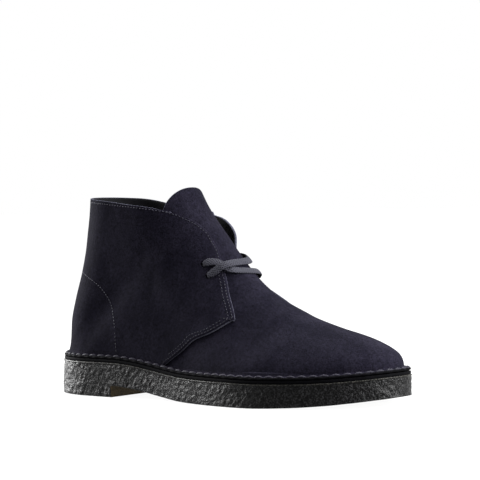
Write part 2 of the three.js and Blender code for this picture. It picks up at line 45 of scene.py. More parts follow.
def camera_axes():
    a, e, r = map(math.radians, (AZ, EL, ROLL))
    back = np.array([math.sin(a) * math.cos(e), -math.cos(a) * math.cos(e), math.sin(e)])
    right = np.array([math.cos(a), math.sin(a), 0.0])
    up = np.cross(back, right)
    r2 = right * math.cos(r) + up * math.sin(r)
    u2 = -right * math.sin(r) + up * math.cos(r)
    return back, r2, u2


def make_camera():
    back, r2, u2 = camera_axes()
    eye = np.array([0, 0, 60.0]) + back * DIST
    look = (240 - CENTRE[0]) / FOCAL * r2 - (240 - CENTRE[1]) / FOCAL * u2 - back   # through the middle of the picture
    z = -look / np.linalg.norm(look)
    x = r2 - z * np.dot(r2, z); x /= np.linalg.norm(x)
    y = np.cross(z, x)
    cam = bpy.data.objects.new("camera", bpy.data.cameras.new("camera"))
    bpy.context.scene.collection.objects.link(cam)
    m = Matrix([[x[i], y[i], z[i], eye[i] * MM] for i in range(3)] + [[0, 0, 0, 1]])
    cam.matrix_world = m
    cam.data.sensor_width = 36.0
    cam.data.lens = FOCAL / 480 * 36.0
    cam.data.clip_start = 0.05
    cam.data.clip_end = 20
    bpy.context.scene.camera = cam


make_camera()

# ------------------------------------------------------------------ the boot's own sizes and tables (as in the solids)
LENGTH, LEDGE, GAP, MID_THICK, FLANGE_THICK, FLANGE_INSET, INSOLE_THICK = 300.0, 5.5, 0.3, 2.2, 1.8, 0.7, 3.0
WALL, PROUD, HEEL_BREAST, BACK_ROUND, SEAT = 1.8, 1.6, -76.5, 34.0, 0.4


def table(cols, rows):
    return {c: [r[k] for r in rows] for k, c in enumerate(cols)}


SOLE = table(['along', 'centre', 'half'], [
    [0, 0, 0], [10, 0, 25.3], [25, -0.5, 35.2], [40, -1, 39.2], [60, -1, 40.2], [90, -2.5, 39.2],
    [120, -4, 39.4], [150, -4.5, 43.4], [180, -3, 49.8], [205, -1, 53.9], [225, 1.5, 54.3],
    [250, 4, 49.3], [270, 6, 41], [285, 7.5, 30.2], [295, 8.5, 17.6], [300, 9, 0]])
TREAD = table(['x', 'under', 'thick'], [
    [-150, 8.5, 16.7], [-76, 8.5, 16.7], [-58, 7.3, 16.8], [-40, 5, 16.9], [-20, 2.2, 17], [-4, 0.6, 17],
    [20, 0, 17], [60, 0, 16.8], [90, 0.9, 16.2], [115, 2.5, 15.5], [135, 4.6, 14.9], [150, 6.5, 14.5]])
BACK = table(['z', 'x'], [
    [10, -141.6], [27, -140.2], [38, -139.6], [52, -139.5], [70, -136.4], [90, -130.9], [110, -126.5],
    [130, -123.3], [150, -121.2], [175, -119.8]])
FLARE, HOLLOW = 0.75, 4.0                                  # how far the inner quarter springs open beside the tongue
LEAN = table(['z', 'back'], [[100, 0], [112, 1.2], [125, 3.2], [138, 5], [150, 6.2], [160, 6.8]])   # tongue leaning back off the last
BACK_HALF = table(['z', 'half'], [[20, 32.9], [35, 32.9], [60, 32.2], [85, 30.7], [110, 29.8], [150, 29.4]])
SECTIONS = table(['low', 'ridgeX', 'ridgeZ', 'centre', 'side', 'round'], [
    [0, 144.6, 26, 8.6, 4, 5], [3, 143, 31, 8.5, 12, 11], [9, 138.5, 36.5, 8.3, 23, 17], [18, 130, 41, 8, 33, 23],
    [32, 116, 46.3, 7.5, 41, 29], [50, 98, 51, 6.8, 45, 34], [72, 76, 57.6, 6, 45, 41], [96, 53, 67, 5.2, 42, 49],
    [122, 31.5, 80.5, 4.4, 38, 56], [152, 13.8, 97.5, 3.8, 34, 58], [190, 0.5, 114.5, 3.2, 31, 54],
    [235, -10.5, 129.5, 2.8, 30.5, 48], [289, -18.6, 142, 2.5, 30.5, 44], [325, -23, 150, 2.5, 31, 42],
    [360, -27, 158, 2.5, 31.5, 41], [400, -30.5, 166, 2.5, 32, 40], [430, -34, 174, 2.5, 32.5, 40]])


def smooth(t):
    t = np.clip(t, 0, 1)
    return t * t * (3 - 2 * t)


def monotone(xs, ys):
    xs = np.asarray(xs, float); ys = np.asarray(ys, float)
    h = np.diff(xs); d = np.diff(ys) / h
    m = np.zeros(len(xs))
    for i in range(1, len(xs) - 1):
        if d[i - 1] * d[i] > 0:
            a = 2 * h[i] + h[i - 1]; b = h[i] + 2 * h[i - 1]
            m[i] = (a + b) / (a / d[i - 1] + b / d[i])
    m[0] = d[0]; m[-1] = d[-1]

    def f(x):
        x = np.clip(np.asarray(x, float), xs[0], xs[-1])
        i = np.clip(np.searchsorted(xs, x, side='right') - 1, 0, len(xs) - 2)
        t = (x - xs[i]) / h[i]; t2 = t * t; t3 = t2 * t
        return ys[i] * (2 * t3 - 3 * t2 + 1) + m[i] * h[i] * (t3 - 2 * t2 + t) + ys[i + 1] * (3 * t2 - 2 * t3) + m[i + 1] * h[i] * (t3 - t2)
    return f


def spline(xs, ys):
    xs = np.asarray(xs, float); ys = np.asarray(ys, float)
    n = len(xs); u = np.zeros(n); y2 = np.zeros(n)
    for i in range(1, n - 1):
        s = (xs[i] - xs[i - 1]) / (xs[i + 1] - xs[i - 1]); p = s * y2[i - 1] + 2
        y2[i] = (s - 1) / p
        u[i] = (ys[i + 1] - ys[i]) / (xs[i + 1] - xs[i]) - (ys[i] - ys[i - 1]) / (xs[i] - xs[i - 1])
        u[i] = (6 * u[i] / (xs[i + 1] - xs[i - 1]) - s * u[i - 1]) / p
    for k in range(n - 2, -1, -1):
        y2[k] = y2[k] * y2[k + 1] + u[k]

    def f(x):
        x = np.clip(np.asarray(x, float), xs[0], xs[-1])
        i = np.clip(np.searchsorted(xs, x, side='right') - 1, 0, n - 2)
        h = xs[i + 1] - xs[i]; a = (xs[i + 1] - x) / h; b = 1 - a
        return a * ys[i] + b * ys[i + 1] + ((a ** 3 - a) * y2[i] + (b ** 3 - b) * y2[i + 1]) * h * h / 6
    return f


def angle_of(along):
    return np.arccos(np.clip(1 - 2 * np.asarray(along, float) / LENGTH, -1, 1))


sole_centre = spline(angle_of(SOLE['along']), SOLE['centre'])
sole_half = spline(angle_of(SOLE['along']), SOLE['half'])
under = monotone(TREAD['x'], TREAD['under'])
thick = monotone(TREAD['x'], TREAD['thick'])


def crepe_top(x):
    return under(x) + thick(x)


def feather(x):
    return crepe_top(x) + MID_THICK + 2 * GAP


def outline(inset, steps):
    """outer and inner half outlines, heel to toe, moved inwards by inset"""
    a = np.linspace(0, np.pi, steps + 1)
    x = LENGTH * (1 - np.cos(a)) / 2 - LENGTH / 2
    lo = np.stack([x, sole_centre(a) - sole_half(a)], 1); hi = np.stack([x, sole_centre(a) + sole_half(a)], 1)
    ring = np.concatenate([lo, hi[::-1][1:-1]])
    d = np.roll(ring, -1, 0) - np.roll(ring, 1, 0); l = np.linalg.norm(d, axis=1)[:, None]
    out = np.stack([d[:, 1], -d[:, 0]], 1) / l
    ring = ring - out * inset
    return ring[:steps + 1], np.concatenate([ring[:1], ring[steps:][::-1]]), ring, out


_lo, _hi, _, _ = outline(LEDGE, 200)
HEEL_X, TOE_X = float(_lo[0, 0]), float(_lo[-1, 0])
_lo = _lo[np.argsort(_lo[:, 0])]; _hi = _hi[np.argsort(_hi[:, 0])]


def feather_y(x, side):
    return np.where(np.asarray(side) < 0, np.interp(x, _lo[:, 0], _lo[:, 1]), np.interp(x, _hi[:, 0], _hi[:, 1]))


back_x = monotone(BACK['z'], BACK['x'])
back_half = monotone(BACK_HALF['z'], BACK_HALF['half'])
HEEL_Z = float(feather(HEEL_X)) + SEAT


def back_of(z):
    return back_x(z) - (float(back_x(HEEL_Z)) - HEEL_X) * np.exp(-(z - HEEL_Z) / 6)


_bx = TOE_X + (HEEL_X - TOE_X) * np.linspace(0, 1, 301); _bz = feather(_bx) + SEAT
_hz = HEEL_Z + (175 - HEEL_Z) * np.linspace(0, 1, 151)[1:]
BASE_X = np.concatenate([_bx, back_of(_hz)]); BASE_Z = np.concatenate([_bz, _hz])
BASE_S = np.concatenate([[0], np.cumsum(np.hypot(np.diff(BASE_X), np.diff(BASE_Z)))])
CORNER = float(BASE_S[300])


def base_x(s): return np.interp(s, BASE_S, BASE_X)
def base_z(s): return np.interp(s, BASE_S, BASE_Z)


_r = {k: np.array(v, float) for k, v in SECTIONS.items()}
FAN_POS = np.concatenate([[0], np.cumsum(np.hypot(np.diff(_r['ridgeX']), np.diff(_r['ridgeZ'])) + 0.25 * np.diff(_r['low']))])
FAN = float(FAN_POS[-1])
sec = {'low': monotone(FAN_POS, _r['low'])}
for _k in ('ridgeX', 'ridgeZ', 'centre', 'side', 'round'):
    sec[_k] = spline(FAN_POS, _r[_k])


def edge_round(d, r):
    q = 1 - np.clip(d / r, 0, 1)
    return np.sqrt(np.maximum(0, 1 - q * q))


def last(u, t, side, flare=True):
    """the upper's own function: u along the fan of sections, t from the feather line or back (0) to the ridge (1)"""
    u, t, side = np.broadcast_arrays(np.asarray(u, float), np.asarray(t, float), np.asarray(side, float))
    low = sec['low'](u); bx = base_x(low); bz = base_z(low); rx = sec['ridgeX'](u); rz = sec['ridgeZ'](u)
    x = bx + (rx - bx) * t; z = bz + (rz - bz) * t
    span = np.hypot(rx - bx, rz - bz)
    ridge = edge_round((1 - t) * span, np.minimum(sec['round'](u), span))
    on_foot = low <= CORNER + 1e-6
    fy = feather_y(bx, side); fc = (feather_y(bx, -1) + feather_y(bx, 1)) / 2
    heel = edge_round(x - back_of(np.maximum(z, HEEL_Z)), BACK_ROUND)
    heel0 = edge_round(np.maximum(bx - HEEL_X, 1e-6), BACK_ROUND)
    near = np.where(on_foot, smooth((-60 - bx) / 70), 1.0)
    own = np.where(on_foot & (bx - HEEL_X > 0.5), np.abs(fy - fc) / heel0, back_half(bz))
    foot = own + (back_half(bz) - own) * smooth(1 - (bx - HEEL_X) / 12)
    full = np.where(on_foot, foot * (1 + near * (back_half(z) / back_half(bz) - 1)), back_half(z))
    k = smooth(1.15 * t)
    counter = 1.3 * np.exp(-(((x + 100) / 55) ** 2) - ((z - 46) / 24) ** 2)
    half = full * (1 - k) + sec['side'](u) * k + counter
    c0 = np.where(on_foot, fc * (1 - near), 0) + near * 2.5 * smooth((z - 30) / 90)
    y = c0 * (1 - k) + sec['centre'](u) * k + side * half * ridge * heel
    s = HOLLOW * smooth((z - 66) / 16) * smooth((118 - z) / 16) * smooth((t - 0.5) / 0.3) * smooth((1 - t) / 0.10) * (side > 0)
    x = x - 0.72 * s; y = y - 0.6 * s
    if flare:
        s = FLARE * 7.5 * smooth((z - 103) / 20) * smooth((t - 0.80) / 0.11) * smooth((1 - t) / 0.04) * (side > 0)
        x = x + 0.72 * s; y = y + 0.6 * s
    return np.stack([x, y, z], -1)


def span_at(u):
    return np.hypot(sec['ridgeX'](u) - base_x(sec['low'](u)), sec['ridgeZ'](u) - base_z(sec['low'](u)))


def on_last(u, s, flare=True):
    u, s = np.broadcast_arrays(np.asarray(u, float), np.asarray(s, float))
    return last(u, 1 - np.abs(s) / span_at(u), np.where(s < 0, -1, 1), flare)


def unit(v):
    return v / np.maximum(np.linalg.norm(v, axis=-1, keepdims=True), 1e-12)


def normal_at(u, s, flare=True):
    u, s = np.broadcast_arrays(np.asarray(u, float), np.asarray(s, float)); e = 0.6
    u1 = np.minimum(u + e, FAN)
    v = unit(np.cross(on_last(u1, s, flare) - on_last(u1 - 2 * e, s, flare), on_last(u, s + e, flare) - on_last(u, s - e, flare)))
    sign = v[..., 0] + v[..., 2] + np.where(s < 0, -v[..., 1], v[..., 1])
    return np.where(sign[..., None] < 0, -v, v)


def locate(x, z, side):
    """section and signed distance from the ridge of a place in the side view"""
    x, z, side = np.broadcast_arrays(np.asarray(x, float), np.asarray(z, float), np.asarray(side, float))
    a = np.zeros(x.shape); b = np.full(x.shape, FAN)
    for _ in range(46):
        m = (a + b) / 2; low = sec['low'](m); bx = base_x(low); bz = base_z(low)
        miss = (sec['ridgeX'](m) - bx) * (z - bz) - (sec['ridgeZ'](m) - bz) * (x - bx)
        a = np.where(miss > 0, m, a); b = np.where(miss > 0, b, m)
    u = (a + b) / 2
    return u, side * np.hypot(sec['ridgeX'](u) - x, sec['ridgeZ'](u) - z)


def lifted(u, s, d, flare=True):
    return on_last(u, s, flare) + normal_at(u, s, flare) * np.asarray(d, float)[..., None]


# ------------------------------------------------------------------ mesh helpers
def hash3(i, j, k, seed):
    h = (i.astype(np.int64) * 374761393 + j.astype(np.int64) * 668265263 + k.astype(np.int64) * 2147483647 + seed * 1274126177) & 0xffffffff
    h = ((h ^ (h >> 13)) * 1274126177) & 0xffffffff
    h = (h ^ (h >> 16)) & 0xffffffff
    return h.astype(float) / 4294967295.0


def noise(p, size, seed=0):
    """smooth value noise, 0..1, of points in millimetres"""
    q = np.asarray(p, float) / size; i = np.floor(q).astype(np.int64); f = q - i; f = f * f * (3 - 2 * f)
    out = 0
    for a in (0, 1):
        for b in (0, 1):
            for c in (0, 1):
                w = (f[..., 0] if a else 1 - f[..., 0]) * (f[..., 1] if b else 1 - f[..., 1]) * (f[..., 2] if c else 1 - f[..., 2])
                out = out + w * hash3(i[..., 0] + a, i[..., 1] + b, i[..., 2] + c, seed)
    return out


def merge(verts, faces, tol=1e-4):
    """joins points that coincide and drops faces that shrink to nothing"""
    key = np.round(np.asarray(verts) / tol).astype(np.int64)
    _, first, inv = np.unique(key, axis=0, return_index=True, return_inverse=True)
    inv = np.asarray(inv).reshape(-1)
    out = []
    for f in faces:
        g = []
        for v in f:
            w = int(inv[v])
            if not g or g[-1] != w:
                g.append(w)
        if len(g) > 1 and g[0] == g[-1]:
            g.pop()
        if len(set(g)) == len(g) and len(g) >= 3:
            out.append(tuple(g))
        else:
            out.append(None)
    return np.asarray(verts)[first], out, inv


def vertex_normals(verts, faces):
    n = np.zeros_like(verts)
    tri = []
    for f in faces:
        if f is None:
            continue
        for k in range(1, len(f) - 1):
            tri.append((f[0], f[k], f[k + 1]))
    tri = np.array(tri)
    c = np.cross(verts[tri[:, 1]] - verts[tri[:, 0]], verts[tri[:, 2]] - verts[tri[:, 0]])
    for k in range(3):
        np.add.at(n, tri[:, k], c)
    return unit(n)


def grid_faces(rows, cols, start=0, flip=False):
    f = []
    for i in range(rows - 1):
        for j in range(cols - 1):
            a = start + i * cols + j
            q = (a, a + 1, a + cols + 1, a + cols)
            f.append(q[::-1] if flip else q)
    return f


def make(name, verts_mm, faces, slots, mats=None, smooth_shade=True, uv=None):
    """a mesh object from points in millimetres; mats gives each face's slot"""
    me = bpy.data.meshes.new(name)
    me.from_pydata([tuple(v) for v in (np.asarray(verts_mm) * MM).tolist()], [], [list(map(int, f)) for f in faces])
    for m in slots:
        me.materials.append(m)
    if mats is not None:
        me.polygons.foreach_set("material_index", list(map(int, mats)))
    me.polygons.foreach_set("use_smooth", [smooth_shade] * len(me.polygons))
    if uv is not None:
        lay = me.uv_layers.new(name="UVMap")
        loops = np.zeros(len(me.loops), dtype=np.int64); me.loops.foreach_get("vertex_index", loops)
        lay.data.foreach_set("uv", np.asarray(uv, float)[loops].reshape(-1))
    me.validate(); me.update()
    o = bpy.data.objects.new(name, me)
    bpy.context.scene.collection.objects.link(o)
    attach(o, "root")
    return o


def shell(P, out_d, in_d, close_cols=False, extra_rim=0.25, face_mat=0, in_mat=0, rim_mat=1, disp=None, N=None):
    """closed sheet from a grid of surface points: outer face at out_d, inner face at in_d along the normals, with a rounded rim.
    Returns points, faces and face materials. disp moves the outer face further along the normal."""
    R, C = P.shape[:2]
    flat = P.reshape(-1, 3)
    f0 = grid_faces(R, C)
    mv, mf, inv = merge(flat, f0)
    if N is None:
        vn = vertex_normals(mv, mf)
        N = vn[inv].reshape(R, C, 3)
    od = np.broadcast_to(np.asarray(out_d, float), (R, C)); idd = np.broadcast_to(np.asarray(in_d, float), (R, C))
    if disp is not None:
        od = od + disp
    A = P + N * od[..., None]; B = P + N * idd[..., None]
    # rim direction: away from the sheet at its border
    M = (A + B) / 2
    D = np.zeros_like(P)
    D[0] += unit(P[0] - P[1]); D[-1] += unit(P[-1] - P[-2])
    D[:, 0] += unit(P[:, 0] - P[:, 1]); D[:, -1] += unit(P[:, -1] - P[:, -2])
    M = M + unit(D) * np.abs(od - idd)[..., None] * extra_rim
    n = R * C
    verts = np.concatenate([A.reshape(-1, 3), B.reshape(-1, 3), M.reshape(-1, 3)])
    faces = grid_faces(R, C, 0); mats = [face_mat] * len(faces)
    g = grid_faces(R, C, n, flip=True); faces += g; mats += [in_mat] * len(g)
    idx = np.arange(n).reshape(R, C)
    border = list(idx[0, :]) + list(idx[1:, -1]) + list(idx[-1, :-1][::-1]) + list(idx[1:-1, 0][::-1])
    for a, b in zip(border, border[1:] + border[:1]):
        faces.append((a, 2 * n + a, 2 * n + b, b)); faces.append((2 * n + a, n + a, n + b, 2 * n + b)); mats += [rim_mat, rim_mat]
    v, f, inv2 = merge(verts, faces)
    keep = [k for k, q in enumerate(f) if q is not None]
    return v, [f[k] for k in keep], [mats[k] for k in keep], N

# ------------------------------------------------------------------ materials
def new_material(name):
    m = bpy.data.materials.new(name); m.use_nodes = True
    t = m.node_tree; t.nodes.clear()
    out = t.nodes.new("ShaderNodeOutputMaterial"); b = t.nodes.new("ShaderNodeBsdfPrincipled")
    t.links.new(b.outputs[0], out.inputs[0])
    return m, t, b


def node(t, kind, **kw):
    n = t.nodes.new(kind)
    for k, v in kw.items():
        if k in ("inputs",):
            for key, val in v.items():
                n.inputs[key].default_value = val
        else:
            setattr(n, k, v)
    return n


def noise_node(t, coords, scale, detail=2.0, rough=0.5, stretch=None, distortion=0.0):
    src = coords
    if stretch is not None:
        mp = node(t, "ShaderNodeMapping"); mp.inputs["Scale"].default_value = stretch
        t.links.new(coords, mp.inputs["Vector"]); src = mp.outputs[0]
    n = node(t, "ShaderNodeTexNoise"); n.inputs["Scale"].default_value = scale
    n.inputs["Detail"].default_value = detail; n.inputs["Roughness"].default_value = rough
    n.inputs["Distortion"].default_value = distortion
    t.links.new(src, n.inputs["Vector"])
    return n.outputs["Fac"]


def math_node(t, op, a, b=None, c=None, clamp=False):
    n = node(t, "ShaderNodeMath", operation=op, use_clamp=clamp)
    for k, v in enumerate((a, b, c)):
        if v is None:
            continue
        if isinstance(v, (int, float)):
            n.inputs[k].default_value = v
        else:
            t.links.new(v, n.inputs[k])
    return n.outputs[0]


def ramp(t, fac, stops):
    r = node(t, "ShaderNodeValToRGB")
    e = r.color_ramp.elements
    while len(e) < len(stops):
        e.new(0.5)
    for k, (p, c) in enumerate(stops):
        e[k].position = p; e[k].color = (*c, 1) if len(c) == 3 else c
    t.links.new(fac, r.inputs[0])
    return r.outputs[0]


def mix_colour(t, fac, a, b, blend="MIX"):
    n = node(t, "ShaderNodeMix", data_type="RGBA", blend_type=blend)
    for sock, v in ((n.inputs[0], fac), (n.inputs[6], a), (n.inputs[7], b)):
        if isinstance(v, (int, float)):
            sock.default_value = v
        elif isinstance(v, tuple):
            sock.default_value = (*v, 1) if len(v) == 3 else v
        else:
            t.links.new(v, sock)
    return n.outputs[2]


def bump(t, height, strength, distance, normal=None):
    b = node(t, "ShaderNodeBump"); b.inputs["Strength"].default_value = strength; b.inputs["Distance"].default_value = distance
    t.links.new(height, b.inputs["Height"])
    if normal is not None:
        t.links.new(normal, b.inputs["Normal"])
    return b.outputs[0]


def coords(t):
    return node(t, "ShaderNodeTexCoord").outputs["Object"]


def suede(name, dark, light, sheen=0.35, nap=1.0):
    m, t, b = new_material(name); co = coords(t)
    blotch = noise_node(t, co, 26, 3, 0.55, distortion=0.6)
    streak = noise_node(t, co, 60, 4, 0.6, stretch=(1.0, 1.0, 0.35), distortion=1.2)
    fine = noise_node(t, co, 950, 3, 0.65)
    grain = noise_node(t, co, 2600, 2, 0.6)
    broad = math_node(t, "ADD", math_node(t, "MULTIPLY", blotch, 0.65), math_node(t, "MULTIPLY", streak, 0.35))
    base = ramp(t, broad, [(0.36, dark), (0.64, light)])
    tuft = noise_node(t, co, 420, 3, 0.6)
    k = math_node(t, "MULTIPLY_ADD", fine, 2.6 * nap, 1 - 1.3 * nap)
    k = math_node(t, "ADD", k, math_node(t, "MULTIPLY_ADD", grain, 1.6 * nap, -0.8 * nap))
    k = math_node(t, "ADD", k, math_node(t, "MULTIPLY_ADD", tuft, 1.6 * nap, -0.8 * nap))
    k = math_node(t, "MAXIMUM", k, 0.12)
    grey = node(t, "ShaderNodeCombineColor"); [t.links.new(k, grey.inputs[i]) for i in range(3)]
    t.links.new(mix_colour(t, 1.0, base, grey.outputs[0], "MULTIPLY"), b.inputs["Base Color"])
    t.links.new(math_node(t, "MULTIPLY_ADD", fine, -0.18, 1.02), b.inputs["Roughness"])
    b.inputs["Specular IOR Level"].default_value = 0.01
    b.inputs["Sheen Weight"].default_value = sheen
    b.inputs["Sheen Roughness"].default_value = 0.5
    b.inputs["Sheen Tint"].default_value = (0.62, 0.64, 0.80, 1)
    h = math_node(t, "ADD", math_node(t, "MULTIPLY", fine, 0.7), math_node(t, "MULTIPLY", grain, 0.3))
    n1 = bump(t, broad, 0.35, 0.0016)
    t.links.new(bump(t, h, 0.55, 0.00035, n1), b.inputs["Normal"])
    return m


def plain(name, colour, rough=0.8, spec=0.3, var=0.35, scale=700, bump_mm=0.15, sheen=0.0, metal=0.0):
    m, t, b = new_material(name); co = coords(t)
    n = noise_node(t, co, scale, 3, 0.6)
    lo = tuple(c * (1 - var) for c in colour); hi = tuple(min(1, c * (1 + var)) for c in colour)
    t.links.new(ramp(t, n, [(0.3, lo), (0.7, hi)]), b.inputs["Base Color"])
    t.links.new(math_node(t, "MULTIPLY_ADD", n, 0.2, rough - 0.1), b.inputs["Roughness"])
    b.inputs["Specular IOR Level"].default_value = spec
    b.inputs["Metallic"].default_value = metal
    if sheen:
        b.inputs["Sheen Weight"].default_value = sheen; b.inputs["Sheen Roughness"].default_value = 0.4
        b.inputs["Sheen Tint"].default_value = (0.7, 0.7, 0.8, 1)
    t.links.new(bump(t, n, 0.6, bump_mm * MM), b.inputs["Normal"])
    return m


def crepe(name, dark, light, pale, rough=0.5, spec=0.5, strength=0.9):
    m, t, b = new_material(name); co = coords(t)
    crumb = noise_node(t, co, 760, 3, 0.7)
    grit = noise_node(t, co, 1500, 2, 0.6)
    pits = noise_node(t, co, 980, 2, 0.55)
    v = node(t, "ShaderNodeTexVoronoi", feature="F1"); v.inputs["Scale"].default_value = 820; v.inputs["Randomness"].default_value = 1.0
    t.links.new(co, v.inputs["Vector"])
    patch = noise_node(t, co, 45, 3, 0.6)
    h = math_node(t, "ADD", math_node(t, "MULTIPLY", crumb, 0.55), math_node(t, "ADD", math_node(t, "MULTIPLY", grit, 0.25), math_node(t, "MULTIPLY", v.outputs["Distance"], 0.35)))
    base = ramp(t, pits, [(0.42, dark), (0.50, light), (0.62, pale)])
    base = mix_colour(t, math_node(t, "MULTIPLY", patch, 0.45), base, dark, "MIX")
    t.links.new(base, b.inputs["Base Color"])
    t.links.new(math_node(t, "MULTIPLY_ADD", grit, 0.35, rough - 0.17), b.inputs["Roughness"])
    b.inputs["Specular IOR Level"].default_value = spec
    t.links.new(bump(t, h, strength, 0.0009), b.inputs["Normal"])
    return m


def woven(name, colour, across, along):
    """flat braid: u runs across, v along, both in millimetres; the colour follows the weave, with painted shade in the
    gaps and painted highlight on the cords
    """
    m, t, b = new_material(name)
    uv = node(t, "ShaderNodeTexCoord").outputs["UV"]
    sp = node(t, "ShaderNodeSeparateXYZ"); t.links.new(uv, sp.inputs[0])
    x = math_node(t, "MULTIPLY", sp.outputs[0], 2 * math.pi / across); y = math_node(t, "MULTIPLY", sp.outputs[1], 2 * math.pi / along)
    a = math_node(t, "SINE", math_node(t, "ADD", x, y)); c = math_node(t, "SINE", math_node(t, "SUBTRACT", x, y))
    w = math_node(t, "MAXIMUM", a, c)
    w = math_node(t, "MULTIPLY_ADD", w, 0.5, 0.5, clamp=True)
    co = coords(t); n = noise_node(t, co, 1800, 2, 0.6); n2 = noise_node(t, co, 160, 2, 0.5)
    # colour: the weave height w gives painted shade in the gaps and painted highlight on the cords; the two noises are
    # the thread's own tone
    k = math_node(t, "ADD", math_node(t, "MULTIPLY", w, 0.55), math_node(t, "ADD", math_node(t, "MULTIPLY", n, 0.3), math_node(t, "MULTIPLY", n2, 0.25)))
    t.links.new(ramp(t, k, [(0.25, tuple(q * 0.2 for q in colour)), (0.85, tuple(q * 1.8 for q in colour))]), b.inputs["Base Color"])
    b.inputs["Roughness"].default_value = 0.85; b.inputs["Specular IOR Level"].default_value = 0.08
    b.inputs["Sheen Weight"].default_value = 0.04; b.inputs["Sheen Roughness"].default_value = 0.35; b.inputs["Sheen Tint"].default_value = (0.8, 0.8, 0.9, 1)
    h = math_node(t, "ADD", w, math_node(t, "MULTIPLY", n, 0.4))
    t.links.new(bump(t, h, 0.9, 0.00035), b.inputs["Normal"])
    return m


M_SUEDE = suede("suede", (0.0019, 0.0017, 0.0034), (0.0047, 0.0043, 0.0072), sheen=0.007)
M_EDGE = suede("suede_edge", (0.012, 0.012, 0.017), (0.028, 0.028, 0.038), sheen=0.04)
M_LINING = plain("lining", (0.0020, 0.0020, 0.0026), rough=0.8, spec=0.05, scale=420, bump_mm=0.2)
M_MID = plain("midsole_black", (0.0010, 0.0010, 0.0013), rough=0.75, spec=0.012, scale=300, bump_mm=0.2)
M_CREPE = crepe("crepe_side", (0.0002, 0.0002, 0.0002), (0.0012, 0.0012, 0.0013), (0.013, 0.013, 0.0137), rough=0.38, spec=0.060, strength=0.55)
# smooth top lip of the crepe: the crumbs are the crepe's own, but its lighter tone is a painted highlight, the bright
# line along the top edge
M_LIP_PAINTED_HIGHLIGHT = crepe("crepe_lip_painted_highlight", (0.0015, 0.0015, 0.0015), (0.007, 0.007, 0.006), (0.024, 0.023, 0.020), rough=0.36, spec=0.06, strength=0.3)
M_AMBER = crepe("crepe_amber", (0.016, 0.011, 0.005), (0.038, 0.027, 0.012), (0.060, 0.044, 0.021), rough=0.6, spec=0.15, strength=0.5)
M_THREAD = plain("thread_pale", (0.022, 0.022, 0.030), rough=0.7, spec=0.2, scale=1500, bump_mm=0.05, sheen=0.1)
# darker copy of the pale thread for the low end of the counter stitch row: painted shade near the sole
M_THREAD_SHADED = plain("thread_painted_shade", (0.0065, 0.0062, 0.0090), rough=0.7, spec=0.1, scale=1500, bump_mm=0.08, sheen=0.3)
M_CORD = plain("welt_thread", (0.0085, 0.0080, 0.0118), rough=0.6, spec=0.04, scale=1100, bump_mm=0.12, sheen=0.03)
M_LACE = woven("lace_weave_painted_shade_and_highlight", (0.0082, 0.0082, 0.0112), 2.1, 2.1)
M_INSOLE = plain("insole_black", (0.011, 0.011, 0.013), rough=0.7, spec=0.35, scale=260, bump_mm=0.25)

# ------------------------------------------------------------------ sole
RING_N = 740


def level_ring(inset, n):
    _, _, ring, out = outline(inset, n)
    return ring, out


def slab_mesh(profile, n, bottom_is, cols=12, side_disp=None, x_cut=None, lip_rows=0):
    """closed slab: profile lists (inset, z function) from the top edge down to the bottom edge"""
    _, _, r0, out0 = outline(0, n)
    rows = []
    for inset, zf in profile:
        ring = r0 - out0 * (inset(r0[:, 0])[:, None] if callable(inset) else inset)
        z = zf(ring[:, 0])
        rows.append(np.concatenate([ring, z[:, None]], 1))
    G = np.stack(rows)                                    # rows x ring x 3
    if side_disp is not None:
        d = side_disp(G)
        G[..., :2] += out0[None] * d[..., None]
    return G


def cap(G_row, n, cols, zf):
    """points across between the two sides of a ring row: n + 1 stations, cols + 1 across"""
    lo = G_row[:n + 1]; hi = np.concatenate([G_row[:1], G_row[n:][::-1]])
    w = (1 - np.cos(np.pi * np.linspace(0, 1, cols + 1))) / 2
    P = lo[:, None, :] * (1 - w)[None, :, None] + hi[:, None, :] * w[None, :, None]
    return P


def rake(v):
    """the wall of the heel leans in towards the top"""
    v = np.array(v, float); k = smooth((-112 - v[..., 0]) / 36)
    v[..., 0] += k * (2.1 * np.clip(v[..., 2] / 25, 0, 1.05) - 0.75)
    return v


def crumble(p):
    """rough crepe: bumps and pits in millimetres"""
    a = noise(p, 2.1, 3) - 0.5; b = noise(p, 1.15, 5) - 0.5; c = noise(p, 7.0, 9) - 0.5; e = noise(p, 22.0, 11) - 0.5
    return 0.75 * a + 0.55 * b + 0.35 * c + 0.5 * e


